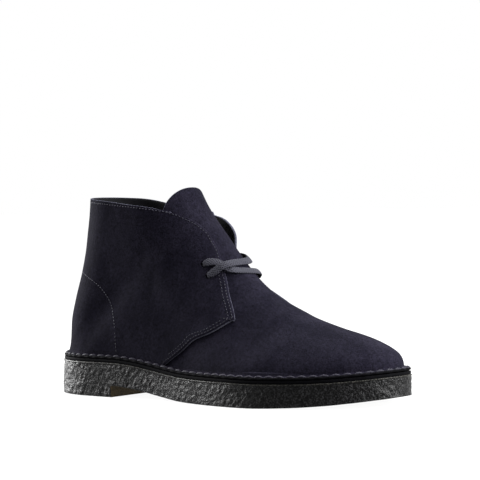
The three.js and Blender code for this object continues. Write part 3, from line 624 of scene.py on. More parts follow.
def build_sole():
    n = RING_N
    T = 1.0                                                # height of the smoother lip at the top edge
    rows_mid = 20

    def lip_z(k):
        return lambda x: crepe_top(x) - k

    def mid_z(f):
        return lambda x: (crepe_top(x) - T) * (1 - f) + (under(x) + 0.35) * f
    profile = [(0.75, lip_z(0.0)), (0.28, lip_z(0.05)), (0.02, lip_z(0.22)), (-0.05, lip_z(0.5)), (0.0, lip_z(0.8)), (0.22, lip_z(T))]
    n_lip = len(profile)
    profile += [(0.25, mid_z(f)) for f in np.linspace(0.03, 1, rows_mid)]
    profile += [(0.25, lambda x: under(x) + 0.07)]
    profile += [(lambda x: 0.26 + 0.65 * smooth((x - HEEL_BREAST - 1) / 4), lambda x: under(x) + 0.012)]

    def disp(G):
        p = G.copy(); d = crumble(p) + 0.1
        k = np.ones(G.shape[:2]) * 0.12
        k[n_lip:] = 1.0; k[n_lip - 1] = 0.6; k[-1] = 0.8; k[0] = 0.05
        return np.clip(d * k * 0.7, -0.45, 0.6) - 0.30 * (k > 0.5)
    G = slab_mesh(profile, n, None, side_disp=disp)
    R, C = G.shape[:2]
    verts = [G.reshape(-1, 3)]; faces = []; mats = []
    for i in range(R - 1):
        for j in range(C):
            a = i * C + j; b = i * C + (j + 1) % C
            # the lip rows take slot 1, the lip material with its painted highlight
            faces.append((a, a + C, b + C, b)); mats.append(1 if i < n_lip - 1 else 0)
    start = R * C
    top = cap(G[0], n, 12, None); verts.append(top.reshape(-1, 3))
    f = grid_faces(n + 1, 13, start, flip=False); faces += f; mats += [1] * len(f); start += (n + 1) * 13
    cols = 26
    bot = cap(G[-1], n, cols, None)
    ripple = 0.35 * (noise(bot, 3.2, 21) - 0.5) + 0.25 * (noise(bot, 1.6, 23) - 0.5)
    ripple[:, 0] = 0; ripple[:, -1] = 0
    bot[..., 2] += np.maximum(ripple, -0.02) + 0.03
    bot[:, 0, 2] -= 0.03; bot[:, -1, 2] -= 0.03
    verts.append(bot.reshape(-1, 3))
    f = grid_faces(n + 1, cols + 1, start, flip=True); faces += f; mats += [2] * len(f)
    v, f2, _ = merge(np.concatenate(verts), faces)
    keep = [k for k, q in enumerate(f2) if q is not None]
    o = make("crepe_outsole", rake(v), [f2[k] for k in keep], [M_CREPE, M_LIP_PAINTED_HIGHLIGHT, M_AMBER], [mats[k] for k in keep])
    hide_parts("outsole")

    # heel lift
    _, _, r0, out0 = outline(0, n)
    lo_x = r0[:n + 1, 0]
    cut = int(np.searchsorted(lo_x, HEEL_BREAST))
    left = r0[:cut].copy(); right = r0[n:][::-1]; right = np.concatenate([r0[:1], right])[:cut].copy()
    ol = out0[:cut]; orr = np.concatenate([out0[:1], out0[n:][::-1]])[:cut]
    # end both sides on the breast line
    for arr, oo in ((left, ol), (right, orr)):
        pass
    path = np.concatenate([left[::-1], right[1:]]); po = np.concatenate([ol[::-1], orr[1:]])
    ends = [np.array([HEEL_BREAST, np.interp(HEEL_BREAST, lo_x, r0[:n + 1, 1])]), np.array([HEEL_BREAST, np.interp(HEEL_BREAST, lo_x, np.concatenate([r0[:1], r0[n:][::-1]])[:, 1])])]
    path = np.concatenate([[ends[0]], path, [ends[1]]]); po = np.concatenate([[po[0]], po, [po[-1]]])
    zrows = [(0.26, 1.0), (0.25, 0.993), (0.25, 0.86), (0.25, 0.72), (0.25, 0.58), (0.25, 0.44), (0.25, 0.3), (0.22, 0.17), (0.3, 0.06), (0.6, 0.0)]
    L = len(path)
    rows = []
    for inset, f in zrows:
        q = path - po * inset
        z = f * (under(q[:, 0]) - 0.02)
        P = np.concatenate([q, z[:, None]], 1)
        d = np.clip(crumble(P) + 0.1, -0.55, 0.75) - 0.30
        if f == 0:
            d = d * 0.5
        P[:, :2] += po * d[:, None]
        P[0, 0] = P[-1, 0] = HEEL_BREAST
        rows.append(P)
    G = np.stack(rows); R = len(rows)
    verts = [G.reshape(-1, 3)]; faces = grid_faces(R, L, 0, flip=True); mats = [0] * len(faces)
    half = (L - 1) // 2
    start = R * L
    cols = 22
    w = np.linspace(0, 1, cols + 1)

    def across(row):
        lo = row[:half + 1][::-1]; hi = row[L - half - 1:]
        return lo[:, None] * (1 - w)[None, :, None] + hi[:, None] * w[None, :, None]
    bot = across(G[-1]); rip = np.maximum(0.35 * (noise(bot, 3.2, 21) - 0.5), -0.02) + 0.02; rip[:, 0] = rip[:, -1] = 0; rip[-1] = 0
    bot[..., 2] += rip
    verts.append(bot.reshape(-1, 3)); f = grid_faces(bot.shape[0], cols + 1, start); faces += f; mats += [1] * len(f); start += bot.shape[0] * (cols + 1)
    top = across(G[0]); verts.append(top.reshape(-1, 3)); f = grid_faces(top.shape[0], cols + 1, start, flip=True); faces += f; mats += [1] * len(f); start += top.shape[0] * (cols + 1)
    br = G[:, :1] * (1 - w)[None, :, None] + G[:, -1:] * w[None, :, None]
    s = 0.5 * (noise(br, 5.0, 31) - 0.5) + 0.3 * (noise(br, 2.0, 33) - 0.5); s[0] = s[-1] = 0; s[:, 0] = s[:, -1] = 0
    br[..., 0] += s - 0.25 * (s != 0)
    verts.append(br.reshape(-1, 3)); f = grid_faces(R, cols + 1, start); faces += f; mats += [1] * len(f)
    v, f2, _ = merge(np.concatenate(verts), faces)
    keep = [k for k, q in enumerate(f2) if q is not None]
    o = make("crepe_heel", rake(v), [f2[k] for k in keep], [M_CREPE, M_AMBER], [mats[k] for k in keep])
    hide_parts("heel")

    # midsole
    prof = [(1.2, 2.2), (0.75, 2.1), (0.6, 1.8), (0.58, 1.1), (0.6, 0.4), (0.78, 0.08), (1.2, 0.0)]
    nm = 200
    G = slab_mesh([(i, (lambda k: (lambda x: crepe_top(x) + GAP * 0.4 + k * 1.03))(z)) for i, z in prof], nm, None)
    R, C = G.shape[:2]
    verts = [G.reshape(-1, 3)]; faces = []
    for i in range(R - 1):
        for j in range(C):
            a = i * C + j; b = i * C + (j + 1) % C; faces.append((a, a + C, b + C, b))
    start = R * C
    for row, flip in ((0, False), (R - 1, True)):
        c = cap(G[row], nm, 10, None); verts.append(c.reshape(-1, 3)); faces += grid_faces(nm + 1, 11, start, flip=flip); start += (nm + 1) * 11
    v, f2, _ = merge(np.concatenate(verts), faces)
    o = make("midsole_layer", rake(v), [q for q in f2 if q is not None], [M_MID])
    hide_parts("midsole")


build_sole()

STITCH_PITCH = 8.0


def ring_length(ring):
    d = np.linalg.norm(np.roll(ring, -1, 0) - ring, axis=1)
    return np.concatenate([[0], np.cumsum(d)])


def build_flange():
    n = 320
    _, _, r0, out0 = outline(0, n)
    feather_ring = r0 - out0 * LEDGE
    S = ring_length(r0)[:-1]; total = ring_length(r0)[-1]
    count = round(total / STITCH_PITCH); pitch = total / count
    off = 1.6 * smooth((-23 - r0[:, 0]) / 6)               # wall stands proud where the quarters are
    # (distance out from the wall, height over the feather plane, share of the quarters' proudness)
    prof = [(-0.9, 5.2, 1), (-0.30, 4.0, 1), (0.02, 3.2, 1), (0.35, 2.65, 1), (0.8, 2.25, .9), (1.4, 2.0, .7), (2.2, 1.88, .4), (3.0, 1.85, .2), (3.8, 1.85, 0), (4.4, 1.72, 0), (4.75, 1.35, 0),
            (4.85, 0.9, 0), (4.75, 0.4, 0), (4.5, 0.05, 0), (2.5, 0.0, 0), (-0.9, 0.0, 0), (-1.6, 2.5, 0)]
    wave = np.cos(2 * np.pi * S / pitch)
    rows = []
    for k, h, s in prof:
        out_d = k + off * s
        out_d = out_d + (0.22 * wave if 0.3 < h < 2.2 and k > 3.5 else 0)
        q = feather_ring + out0 * out_d[:, None] if np.ndim(out_d) else feather_ring + out0 * out_d
        z = feather(r0[:, 0]) + h - (0.28 * (1 - wave) * 0.5 if (k > 2.5 and h > 1.2) else 0)
        rows.append(np.concatenate([q, z[:, None]], 1))
    G = np.stack(rows); R, C = G.shape[:2]
    faces = []; mats = []
    for i in range(R):
        for j in range(C):
            a = i * C + j; b = i * C + (j + 1) % C; i2 = (i + 1) % R
            a2 = i2 * C + j; b2 = i2 * C + (j + 1) % C
            faces.append((a, a2, b2, b)); mats.append(1 if i in (8, 9, 10, 11, 12, 13) else 0)
    o = make("flange", rake(G.reshape(-1, 3)), faces, [M_SUEDE, M_MID], mats)
    # thick lockstitch lying on the flange
    ring_s = np.concatenate([S, [total]]); rr = np.concatenate([r0, r0[:1]]); oo = np.concatenate([out0, out0[:1]])

    def at(s, k):
        s = np.mod(s, total)
        p = np.stack([np.interp(s, ring_s, rr[:, 0]), np.interp(s, ring_s, rr[:, 1])], -1)
        nn = unit(np.stack([np.interp(s, ring_s, oo[:, 0]), np.interp(s, ring_s, oo[:, 1])], -1))
        return p - nn * (LEDGE - np.asarray(k))[:, None], nn
    verts = []; faces = []
    m, c = 13, 10
    for i in range(count):
        f = np.linspace(0, 1, m); s = (i + 0.08 + 0.84 * f) * pitch
        kk = 3.15 - 0.15 * np.sin(np.pi * f)
        p, nn = at(s, kk)
        arch = np.sin(np.pi * f) ** 0.7
        zc = feather(p[:, 0]) + 1.45 + 0.75 * arch
        rad = 0.30 + 0.72 * np.sin(np.pi * np.clip(f, 0.02, 0.98)) ** 0.45
        base = len(verts) * 1
        ang = np.linspace(0, 2 * np.pi, c, endpoint=False)
        ring = np.zeros((m, c, 3))
        twist = ang[None, :] + 0.0 * f[:, None]
        ring[..., 0] = p[:, 0, None] + nn[:, 0, None] * np.cos(twist) * rad[:, None] * 1.12
        ring[..., 1] = p[:, 1, None] + nn[:, 1, None] * np.cos(twist) * rad[:, None] * 1.12
        ring[..., 2] = zc[:, None] + np.sin(twist) * rad[:, None] * 0.85
        b0 = i * m * c
        verts.append(ring.reshape(-1, 3))
        for a in range(m - 1):
            for b in range(c):
                faces.append((b0 + a * c + b, b0 + a * c + (b + 1) % c, b0 + (a + 1) * c + (b + 1) % c, b0 + (a + 1) * c + b))
        faces.append(tuple(b0 + b for b in range(c))[::-1]); faces.append(tuple(b0 + (m - 1) * c + b for b in range(c)))
    o2 = make("welt_stitches", rake(np.concatenate(verts)), faces, [M_CORD])
    return o


FLANGE = build_flange()

# ------------------------------------------------------------------ quarters: patches in the side view, carried on to the last
COLLAR = np.array([[-150, 147], [-128, 146.4], [-107, 145], [-87, 143.4], [-70, 141.4], [-54, 139.5], [-40, 137], [-28, 133.6], [-20, 130], [40, 112]], float)
FACING = np.array([[50, -33, 38], [57.6, -27.4, 32], [65.6, -23, 26], [75.1, -18.9, 20], [86.4, -14.3, 17], [98.5, -10.5, 16.5],
                   [108.5, -8.2, 17], [117.8, -8.2, 18.5], [124.4, -10.5, 20.5], [130, -15, 24], [134, -21, 29]], float)
QUARTER = np.array([[-26.5, 20], [-24.7, 24.7], [-16, 30.4], [-7.8, 35.6], [-2, 40], [2.4, 43.4], [17.6, 49.6], [30, 57.6]], float)
collar_z = monotone(COLLAR[:, 0], COLLAR[:, 1])


def facing_line(side):
    """front edge of a quarter in the side view, from the lower corner up to the collar"""
    f = monotone(FACING[:, 0], FACING[:, 1 if side < 0 else 2])
    us = np.linspace(0, FAN, 1600)
    a = np.full(us.shape, 0.15); b = np.full(us.shape, 0.96) * span_at(us)
    for _ in range(40):
        m = (a + b) / 2; p = on_last(us, side * m, False)
        far = side * (p[:, 1] - f(p[:, 2])) > 0
        b = np.where(far, m, b); a = np.where(far, a, m)
    s = (a + b) / 2; t = 1 - s / span_at(us)
    low = sec['low'](us); bx, bz = base_x(low), base_z(low)
    x = bx + (sec['ridgeX'](us) - bx) * t; z = bz + (sec['ridgeZ'](us) - bz) * t
    ok = (z > 57.6) & (z < collar_z(x)) & (us > FAN * 0.1)
    pts = np.stack([x[ok], z[ok]], 1)
    return pts


def resample(pts, k):
    pts = np.asarray(pts, float)
    s = np.concatenate([[0], np.cumsum(np.linalg.norm(np.diff(pts, axis=0), axis=1))])
    q = np.linspace(0, s[-1], k) if np.ndim(k) == 0 else np.asarray(k) * s[-1]
    return np.stack([np.interp(q, s, pts[:, i]) for i in range(pts.shape[1])], 1)


def smooth_line(pts, k):
    """cubic through a polyline, by arc length"""
    pts = np.asarray(pts, float)
    s = np.concatenate([[0], np.cumsum(np.linalg.norm(np.diff(pts, axis=0), axis=1))])
    q = np.linspace(0, s[-1], k)
    return np.stack([monotone(s, pts[:, i])(q) if np.all(np.diff(pts[:, i]) >= 0) or np.all(np.diff(pts[:, i]) <= 0) else spline(s, pts[:, i])(q) for i in range(pts.shape[1])], 1)


QN_V, QN_H = ((92, 84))


def quarter_patch(side):
    """grid of side-view points: rows from the sole to the collar, columns from the back to the front edge"""
    low = smooth_line(QUARTER, 60); face = facing_line(side)
    face = face[np.argsort(face[:, 1])]
    n_low = round(0.36 * QN_H); n_up = QN_H - n_low
    R = np.concatenate([resample(low, n_low + 1)[:-1], resample(np.concatenate([low[-1:], face]), n_up)])
    R[0] = [QUARTER[0, 0], feather(QUARTER[0, 0]) + SEAT]
    h = np.linspace(0, 1, QN_H)
    zt = collar_z(-126.0)
    z = HEEL_Z + (zt - HEEL_Z) * h
    L = np.stack([back_of(z), z], 1)
    w = np.linspace(0, 1, QN_V); v = w * w * (1.6 - 0.6 * w)
    bx = L[0, 0] + (R[0, 0] - L[0, 0]) * v; B = np.stack([bx, feather(bx) + SEAT], 1)
    tx = L[-1, 0] + (R[-1, 0] - L[-1, 0]) * v; tz = collar_z(tx) - (3.2 * smooth((tx + 108) / 40) * smooth((-15 - tx) / 30) if side > 0 else 0); tz = tz + (R[-1, 1] - collar_z(R[-1, 0])) * v; T = np.stack([tx, tz], 1)
    V, H = v[None, :, None], h[:, None, None]
    P = (1 - V) * L[:, None] + V * R[:, None] + (1 - H) * B[None] + H * T[None] - ((1 - V) * (1 - H) * L[0] + V * (1 - H) * R[0] + (1 - V) * H * L[-1] + V * H * R[-1])
    P[..., 0] = np.maximum(P[..., 0], back_of(P[..., 1]))
    return P


def surface(P, side, flare=True):
    """side-view points on to the last"""
    u, s = locate(P[..., 0], P[..., 1], side)
    s = np.clip(np.abs(s), 0, span_at(u)) * side
    return on_last(u, s, flare)


def outward(P, N):
    c = np.array([-20.0, 2.0, 60.0])
    return N if np.sum(N * (P - c)) > 0 else -N


def soft_creases(p):
    """listed soft troughs (negative) and ridges across the ankle and the ball, in millimetres"""
    x, y, z = p[..., 0], p[..., 1], p[..., 2]

    def band(ax, az, bx, bz, width, depth, y0=None, ylen=None):
        dx, dz = bx - ax, bz - az; l = math.hypot(dx, dz)
        along = ((x - ax) * dx + (z - az) * dz) / l; dist = ((x - ax) * dz - (z - az) * dx) / l
        fade = smooth((along + 6) / 12) * smooth((l + 6 - along) / 12)
        return depth * np.exp(-(dist / width) ** 2) * fade
    d = 0
    d = d + band(-92, 96, -38, 84, 9, -0.9)               # ankle hollow behind the facing
    d = d + band(-104, 118, -58, 112, 10, 0.5)
    d = d + band(-122, 66, -84, 60, 8, -0.35)
    d = d + band(-70, 70, -30, 58, 10, 0.6)
    d = d + band(30, 62, 62, 36, 8, -0.55)                 # where the foot bends
    d = d + band(48, 60, 78, 34, 8, 0.4)
    d = d + band(62, 58, 92, 33, 7, -0.45)
    d = d + band(0, 60, 24, 34, 10, -0.4)
    return d


def build_quarters():
    lat = quarter_patch(-1); med = quarter_patch(1)
    PL = surface(lat, -1); PM = surface(med, 1)
    PM[:, 0] = PL[:, 0]
    P = np.concatenate([PL[:, ::-1], PM[:, 1:]], 1)
    R, C = P.shape[:2]
    mv, mf, inv = merge(P.reshape(-1, 3), grid_faces(R, C))
    N = outward(P, vertex_normals(mv, mf)[inv].reshape(R, C, 3))
    undul = 0.5 * (noise(P, 38, 41) - 0.5) + 0.25 * (noise(P, 15, 43) - 0.5)
    edge = np.minimum.reduce([np.arange(C)[None, :] + 0 * np.arange(R)[:, None], (C - 1 - np.arange(C))[None, :] + 0 * np.arange(R)[:, None]]) / 12.0
    calm = smooth(edge)
    out_d = PROUD + (undul + soft_creases(P)) * calm
    v, f, m, N2 = shell(P, out_d, 0.05 + 0 * out_d, rim_mat=1, in_mat=2, N=N, extra_rim=0.12)
    o = make("quarters", v, f, [M_SUEDE, M_EDGE, M_LINING], m)
    return o, P, N, out_d


def build_vamp():
    n_c = 64
    n_r = 210
    # stations: close together at the toe
    u_q = float(FAN)
    low_end = 430.0
    z_top = 152.5
    us = np.linspace(0, FAN, 4000); rz = sec['ridgeZ'](us)
    u_top = float(us[np.argmax(rz >= z_top)])
    f = np.linspace(0, 1, n_r)
    low_u = sec['low'](us)
    # spacing follows u with crowding at the toe and at the tongue's end
    g = 0.5 * f + 0.5 * (f * f * (3 - 2 * f))
    g = g * (1 - 0.35 * np.exp(-f * 9)) 
    g = (g - g[0]) / (g[-1] - g[0])
    u0 = g * u_top
    c = np.linspace(-1, 1, 2 * n_c + 1); a = np.sin(np.abs(c) * np.pi / 2)
    low = sec['low'](u0); k = smooth((low - 186) / 16)
    width_full = span_at(u0)
    W = width_full * (1 - k) + np.minimum(21.5, width_full) * k
    # columns: |s| = W * g(|c|), close together at the ridge (where s is small) and at the feather line
    cc = np.abs(c)
    e = 1 - np.cos(cc * np.pi / 2)
    col = 0.55 * e + 0.45 * cc
    t_toe = smooth(low / 60)
    S = W[:, None] * col[None, :] * np.sign(c)[None, :]
    # rounded end of the tongue
    drop = 15 * (1 - np.sqrt(np.maximum(0, 1 - 0.985 * c ** 2)))
    ztop = z_top - drop
    utop = np.interp(ztop, rz, us)
    frac = smooth((low - 235) / (sec['low'](u_top) - 235))
    U = u0[:, None] + (utop - u_top)[None, :] * (frac * g / g[-1])[:, None]
    P = on_last(U, S, False)
    P[..., 0] -= monotone(LEAN['z'], LEAN['back'])(P[..., 2])
    R, C = P.shape[:2]
    mv, mf, inv = merge(P.reshape(-1, 3), grid_faces(R, C))
    N = outward(P, vertex_normals(mv, mf)[inv].reshape(R, C, 3))
    undul = 0.45 * (noise(P, 34, 51) - 0.5) + 0.2 * (noise(P, 13, 53) - 0.5)
    low_fade = smooth((1 - np.abs(c)) / 0.08)[None, :] * smooth(low / 20)[:, None]
    out_d = (undul + soft_creases(P)) * low_fade * (1 - 0.6 * k[:, None]) + 0 * P[..., 0]
    out_d = np.minimum(out_d, 0.35)
    v, fc, m, _ = shell(P, out_d, -1.6 + 0 * out_d, rim_mat=1, in_mat=2, N=N, extra_rim=0.3)
    o = make("vamp_tongue", v, fc, [M_SUEDE, M_EDGE, M_LINING], m)
    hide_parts("tongue")
    return o


VAMP = build_vamp()
QUARTERS, QP, QNRM, QOUT = build_quarters()
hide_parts("upper")
QA = QP + QNRM * QOUT[..., None]                          # outer face of the quarters
QC = (QA.shape[1] - 1) // 2                               # column of the back line


# ------------------------------------------------------------------ holes, lace
def spot(x, z, side, lift, flare=True):
    u, s = locate(x, z, side)
    return lifted(u, s, lift, flare), normal_at(u, s, flare)


def punch(obj, holes, solver="EXACT"):
    verts = []; faces = []
    k = 20
    for centre, normal, radius, reach in holes:
        n = unit(normal); a = unit(np.cross(n, [0.1, 0.2, 1.0])); b = np.cross(n, a)
        ang = np.linspace(0, 2 * np.pi, k, endpoint=False)
        base = len(verts)
        for d in (-reach, reach):
            for t in ang:
                verts.append(centre + n * d + (a * math.cos(t) + b * math.sin(t)) * radius)
        for i in range(k):
            j = (i + 1) % k
            faces.append((base + i, base + j, base + k + j, base + k + i))
        faces.append(tuple(base + i for i in range(k))[::-1]); faces.append(tuple(base + k + i for i in range(k)))
    me = bpy.data.meshes.new("cutter"); me.from_pydata([tuple(v) for v in (np.array(verts) * MM).tolist()], [], faces); me.update()
    cutter = bpy.data.objects.new("cutter", me); bpy.context.scene.collection.objects.link(cutter)
    mod = obj.modifiers.new("holes", "BOOLEAN"); mod.operation = 'DIFFERENCE'; mod.solver = solver; mod.object = cutter
    dg = bpy.context.evaluated_depsgraph_get()
    new = bpy.data.meshes.new_from_object(obj.evaluated_get(dg), preserve_all_data_layers=True, depsgraph=dg)
    before = len(obj.data.polygons)
    if len(new.polygons) > 0.8 * before:
        obj.modifiers.clear(); obj.data = new
        print("holes in", obj.name, before, "->", len(new.polygons))
    else:
        obj.modifiers.clear(); print("holes in", obj.name, "left out")
    bpy.data.objects.remove(cutter)


EYELETS = [(-3.0, 96.6, -1), (2.4, 88.4, -1), (-5.0, 98.6, 1), (2.2, 88.2, 1)]
punch(QUARTERS, [(*spot(x, z, s, 0.8), 2.2, 4.0) for x, z, s in EYELETS])


def catmull(pts, k):
    """points of a Catmull-Rom curve, spaced evenly"""
    p = np.asarray(pts, float); p = np.concatenate([[2 * p[0] - p[1]], p, [2 * p[-1] - p[-2]]])
    out = []
    for i in range(1, len(p) - 2):
        t = np.linspace(0, 1, 30, endpoint=False)[:, None]
        out.append(0.5 * ((2 * p[i]) + (-p[i - 1] + p[i + 1]) * t + (2 * p[i - 1] - 5 * p[i] + 4 * p[i + 1] - p[i + 2]) * t ** 2 + (-p[i - 1] + 3 * p[i] - 3 * p[i + 1] + p[i + 2]) * t ** 3))
    out = np.concatenate(out + [p[-2:-1]])
    return resample(out, k)


def ribbon(name, rows, width=5.7, thick=1.35, k=150, pinch=(0.55, 0.55), roll=None):
    """rows: x, z, side, lift of the middle of the lace"""
    pts = []; ups = []
    for x, z, side, lift in rows:
        u, s = locate(x, z, side); pts.append(lifted(u, s, lift)); ups.append(normal_at(u, s, False))
    c = catmull(pts, k); up = unit(catmull(ups, k))
    T = unit(np.gradient(c, axis=0))
    mid = k // 2
    W = np.zeros_like(c); W[mid] = unit(np.cross(T[mid], up[mid]))
    for rng in (range(mid + 1, k), range(mid - 1, -1, -1)):
        for i in rng:
            prev = W[i - 1] if i > mid else W[i + 1]
            w = unit(prev - T[i] * np.dot(T[i], prev))
            ref = np.cross(T[i], up[i]); l = np.linalg.norm(ref)
            if l > 0.5:
                w = unit(w * 0.75 + ref / l * 0.25 * np.sign(np.dot(ref, w)))
            W[i] = w
    H = unit(np.cross(W, T))
    s = np.concatenate([[0], np.cumsum(np.linalg.norm(np.diff(c, axis=0), axis=1))])
    end = np.minimum(smooth(s / 7) * (1 - pinch[0]) + pinch[0], smooth((s[-1] - s) / 7) * (1 - pinch[1]) + pinch[1])
    m = 24; ang = np.linspace(0, 2 * np.pi, m, endpoint=False)
    ca, sa = np.cos(ang), np.sin(ang)
    px = np.sign(ca) * np.abs(ca) ** 0.62; py = np.sign(sa) * np.abs(sa) ** 0.8
    # woven cords along the lace: a few soft ribs across its width
    rib = 0.055 * np.cos(px * np.pi * 4.0)
    w2 = width / 2 * end; fat = thick / 2 * (1 + 0.35 * (1 - end))
    V = c[:, None] + W[:, None] * (px[None, :, None] * w2[:, None, None]) + H[:, None] * ((py[None, :] * (fat[:, None] + rib[None, :] * 1.0))[..., None])
    uv = np.zeros((k, m, 2)); uv[..., 0] = px[None, :] * w2[:, None]; uv[..., 1] = s[:, None]
    faces = []
    for i in range(k - 1):
        for j in range(m):
            j2 = (j + 1) % m; faces.append((i * m + j, i * m + j2, (i + 1) * m + j2, (i + 1) * m + j))
    faces.append(tuple(range(m))[::-1]); faces.append(tuple((k - 1) * m + j for j in range(m)))
    o = make(name, V.reshape(-1, 3), faces, [M_LACE], uv=uv.reshape(-1, 2))
    return o


A_ROWS = [(-3.0, 96.6, -1, -0.6), (-2.8, 96.7, -1, 1.8), (-1.6, 97.0, -1, 2.8), (0.8, 97.5, -1, 3.1), (3.4, 97.4, -1, 3.1), (6.2, 96.4, -1, 3.1), (9.0, 94.8, -1, 3.0), (12.6, 92.2, -1, 2.6), (16.2, 91.2, -1, 2.5),
          (19.0, 89.4, 1, 2.4), (18.2, 87.2, 1, 2.7), (14.6, 86.0, 1, 3.0), (10.4, 85.8, 1, 2.8), (5.8, 86.8, 1, 2.8), (2.9, 88.1, 1, 2.4), (2.2, 88.2, 1, -0.6)]
B_ROWS = [(2.4, 88.4, -1, -0.6), (2.5, 88.6, -1, 2.2), (4.6, 89.6, -1, 3.0), (6.8, 91.4, -1, 3.8), (9.4, 93.6, -1, 5.0), (12.4, 95.6, -1, 3.6), (13.6, 97.0, 1, 2.6), (10.0, 98.8, 1, 3.0), (4, 100, 1, 3.1), (-1, 99.6, 1, 3.1),
          (-4.2, 98.8, 1, 2.6), (-5.0, 98.6, 1, -0.6)]
LACE_A = ribbon("lace_strand_low", A_ROWS)
LACE_B = ribbon("lace_strand_high", B_ROWS)
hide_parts("lace")

# ------------------------------------------------------------------ stitching
def stitch_mesh(name, paths, material, pitch=2.7, length=2.0, radius=0.30, height=0.18):
    """paths: (points, normals) on a surface; each stitch is a short arched thread that dips in at both ends"""
    verts = []; faces = []; base = 0
    m, c = 6, 6
    ang = np.linspace(0, 2 * np.pi, c, endpoint=False)
    f = np.linspace(0, 1, m)
    rad = radius * np.array([0.45, 0.9, 1.0, 1.0, 0.9, 0.45]); lift = height * np.array([-1.2, 0.5, 1.0, 1.0, 0.5, -1.2])
    for pts, nrm in paths:
        s = np.concatenate([[0], np.cumsum(np.linalg.norm(np.diff(pts, axis=0), axis=1))])
        count = int(s[-1] / pitch)
        for i in range(count):
            q = i * pitch + (pitch - length) / 2 + f * length
            p = np.stack([np.interp(q, s, pts[:, k]) for k in range(3)], 1)
            n = unit(np.stack([np.interp(q, s, nrm[:, k]) for k in range(3)], 1))
            t = unit(p[-1] - p[0]); w = unit(np.cross(n, t))
            p = p + n * lift[:, None]
            ring = p[:, None] + (w[:, None] * np.cos(ang)[None, :, None] + n[:, None] * np.sin(ang)[None, :, None]) * rad[:, None, None]
            verts.append(ring.reshape(-1, 3))
            for a in range(m - 1):
                for b in range(c):
                    faces.append((base + a * c + b, base + a * c + (b + 1) % c, base + (a + 1) * c + (b + 1) % c, base + (a + 1) * c + b))
            faces.append(tuple(base + b for b in range(c))[::-1]); faces.append(tuple(base + (m - 1) * c + b for b in range(c)))
            base += m * c
    o = make(name, np.concatenate(verts), faces, [material])
    return o


def edge_row(cols, dist, rows=None):
    """line at a distance behind the front edge; cols run from the edge inwards"""
    G = QA[:, cols]; NN = QNRM[:, cols]
    edge = G[:, 0]; te = unit(np.gradient(edge, axis=0)); tr = unit(G[:, 6] - G[:, 0])
    sin = np.sqrt(np.clip(1 - np.sum(te * tr, 1) ** 2, 0.12, 1))
    d = np.concatenate([np.zeros((G.shape[0], 1)), np.cumsum(np.linalg.norm(np.diff(G, axis=1), axis=2), 1)], 1)
    pts = []; nn = []
    for i in range(G.shape[0]):
        want = dist / sin[i]
        pts.append([np.interp(want, d[i], G[i, :, k]) for k in range(3)]); nn.append([np.interp(want, d[i], NN[i, :, k]) for k in range(3)])
    pts = np.array(pts); nn = unit(np.array(nn))
    sel = slice(2, -2) if rows is None else rows
    return pts[sel], nn[sel]


def top_row(dist):
    G = QA[::-1]; NN = QNRM[::-1]
    d = np.concatenate([np.zeros((1, G.shape[1])), np.cumsum(np.linalg.norm(np.diff(G, axis=0), axis=2), 0)], 0)
    pts = np.array([[np.interp(dist, d[:, j], G[:, j, k]) for k in range(3)] for j in range(2, G.shape[1] - 2)])
    nn = unit(np.array([[np.interp(dist, d[:, j], NN[:, j, k]) for k in range(3)] for j in range(2, G.shape[1] - 2)]))
    return pts, nn


last_col = QA.shape[1] - 1
LOW_END = round(0.62 * QA.shape[0])                       # the second row stops under the lace
lat_cols = np.arange(0, 40); med_cols = last_col - np.arange(0, 40)
rows = []
for cols in (lat_cols, med_cols):
    rows.append(edge_row(cols, 1.9)); rows.append(edge_row(cols, 4.6, slice(8, LOW_END)))
M_THREAD_MID = plain("thread_mid", (0.0095, 0.0095, 0.0135), rough=0.7, spec=0.1, scale=1500, bump_mm=0.05, sheen=0.2)
stitch_mesh("facing_stitches", rows, M_THREAD_MID, pitch=2.6, length=1.6, radius=0.22, height=0.10)
stitch_mesh("collar_stitches", [top_row(2.4)], M_THREAD, pitch=2.7, length=1.5, radius=0.22, height=0.10)


def nearest_line(line, side):
    """a side-view line carried on to the outer face of the quarters"""
    p = smooth_line(line, 120); u, s = locate(p[:, 0], p[:, 1], side)
    return lifted(u, s, PROUD), normal_at(u, s)


def on_quarter(line, side):
    pts, nrm = nearest_line(line, side)
    flat = QA.reshape(-1, 3)
    out = []
    for p, n in zip(pts, nrm):                             # follow the quarter's own ups and downs
        d = flat - p; i = np.argsort(np.sum(d * d, 1))[:6]
        w = 1 / (np.sum(d[i] ** 2, 1) + 0.05); off = np.sum((d[i] @ n) * w) / np.sum(w)
        out.append(p + n * off)
    return np.array(out), nrm


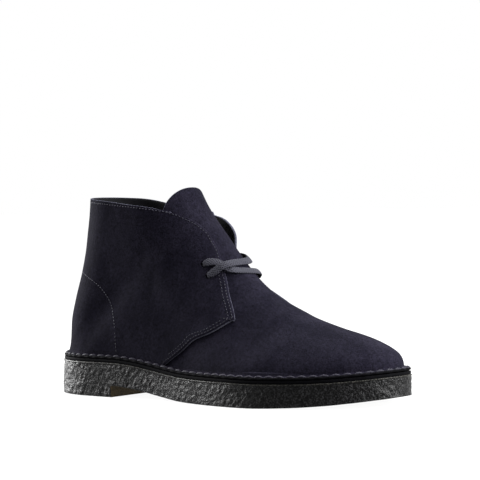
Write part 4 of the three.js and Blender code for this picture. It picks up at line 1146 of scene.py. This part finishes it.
ARC = [(-121.5, 90.5), (-115, 89.6), (-108.2, 87.2), (-98.6, 82.7), (-89.2, 75.1), (-82.2, 65.8), (-77.6, 57.0), (-75.2, 49)]
ARC_LOW = [(-75.0, 47.5), (-73.8, 40), (-73.0, 31.5)]
stitch_mesh("counter_stitches", [on_quarter(ARC, -1), on_quarter(ARC, 1)], M_THREAD, pitch=2.5, length=1.7, radius=0.22, height=0.10)
# the same stitch row runs on below in the darker copy of the thread, painted shade near the sole
stitch_mesh("counter_stitches_low_painted_shade", [on_quarter(ARC_LOW, -1), on_quarter(ARC_LOW, 1)], M_THREAD_SHADED, pitch=2.5, length=1.7, radius=0.22, height=0.10)

# ------------------------------------------------------------------ insole keeps its own solid
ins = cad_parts["insole"]
ins.data.materials.clear() if False else None
for k in range(max(1, len(ins.material_slots))):
    if len(ins.material_slots) == 0:
        ins.data.materials.append(M_INSOLE)
    else:
        ins.material_slots[k].link = 'OBJECT'; ins.material_slots[k].material = M_INSOLE

# ------------------------------------------------------------------ floor, light
floor_mat = plain("floor", (0.05, 0.05, 0.05), rough=0.9, spec=0.1, var=0.004, scale=30, bump_mm=0.01)
floor_bsdf = next(n for n in floor_mat.node_tree.nodes if n.type == "BSDF_PRINCIPLED")
floor_bsdf.inputs["Emission Color"].default_value = (1, 1, 1, 1); floor_bsdf.inputs["Emission Strength"].default_value = 0.95
me = bpy.data.meshes.new("floor")
me.from_pydata([(-9, -9, 0), (9, -9, 0), (9, 9, 0), (-9, 9, 0)], [], [(0, 1, 2, 3)]); me.materials.append(floor_mat); me.update()
floor = bpy.data.objects.new("floor", me); bpy.context.scene.collection.objects.link(floor)
floor.location.z = -0.0002

world = bpy.data.worlds.new("studio"); bpy.context.scene.world = world; world.use_nodes = True
world.node_tree.nodes["Background"].inputs[0].default_value = (1, 1, 1, 1)
world.node_tree.nodes["Background"].inputs[1].default_value = 1.0


def area(name, where, aim, size, power, colour=(1, 1, 1)):
    l = bpy.data.lights.new(name, "AREA"); l.shape = 'RECTANGLE'; l.size, l.size_y = size; l.energy = power; l.color = colour
    o = bpy.data.objects.new(name, l); bpy.context.scene.collection.objects.link(o)
    o.location = where
    o.rotation_euler = (Vector(aim) - Vector(where)).to_track_quat('-Z', 'Y').to_euler()
    return o


area("key_top", (0.15, 0.30, 1.25), (0, 0, 0.06), (1.3, 0.9), 80)
area("left_side", (-1.25, -0.15, 0.40), (-0.08, 0, 0.03), (0.9, 0.7), 76)
area("right_side", (1.25, 0.45, 0.45), (0.10, 0, 0.03), (0.9, 0.7), 92)
bpy.context.scene.view_settings.view_transform = 'Standard'
bpy.context.scene.view_settings.look = 'None'
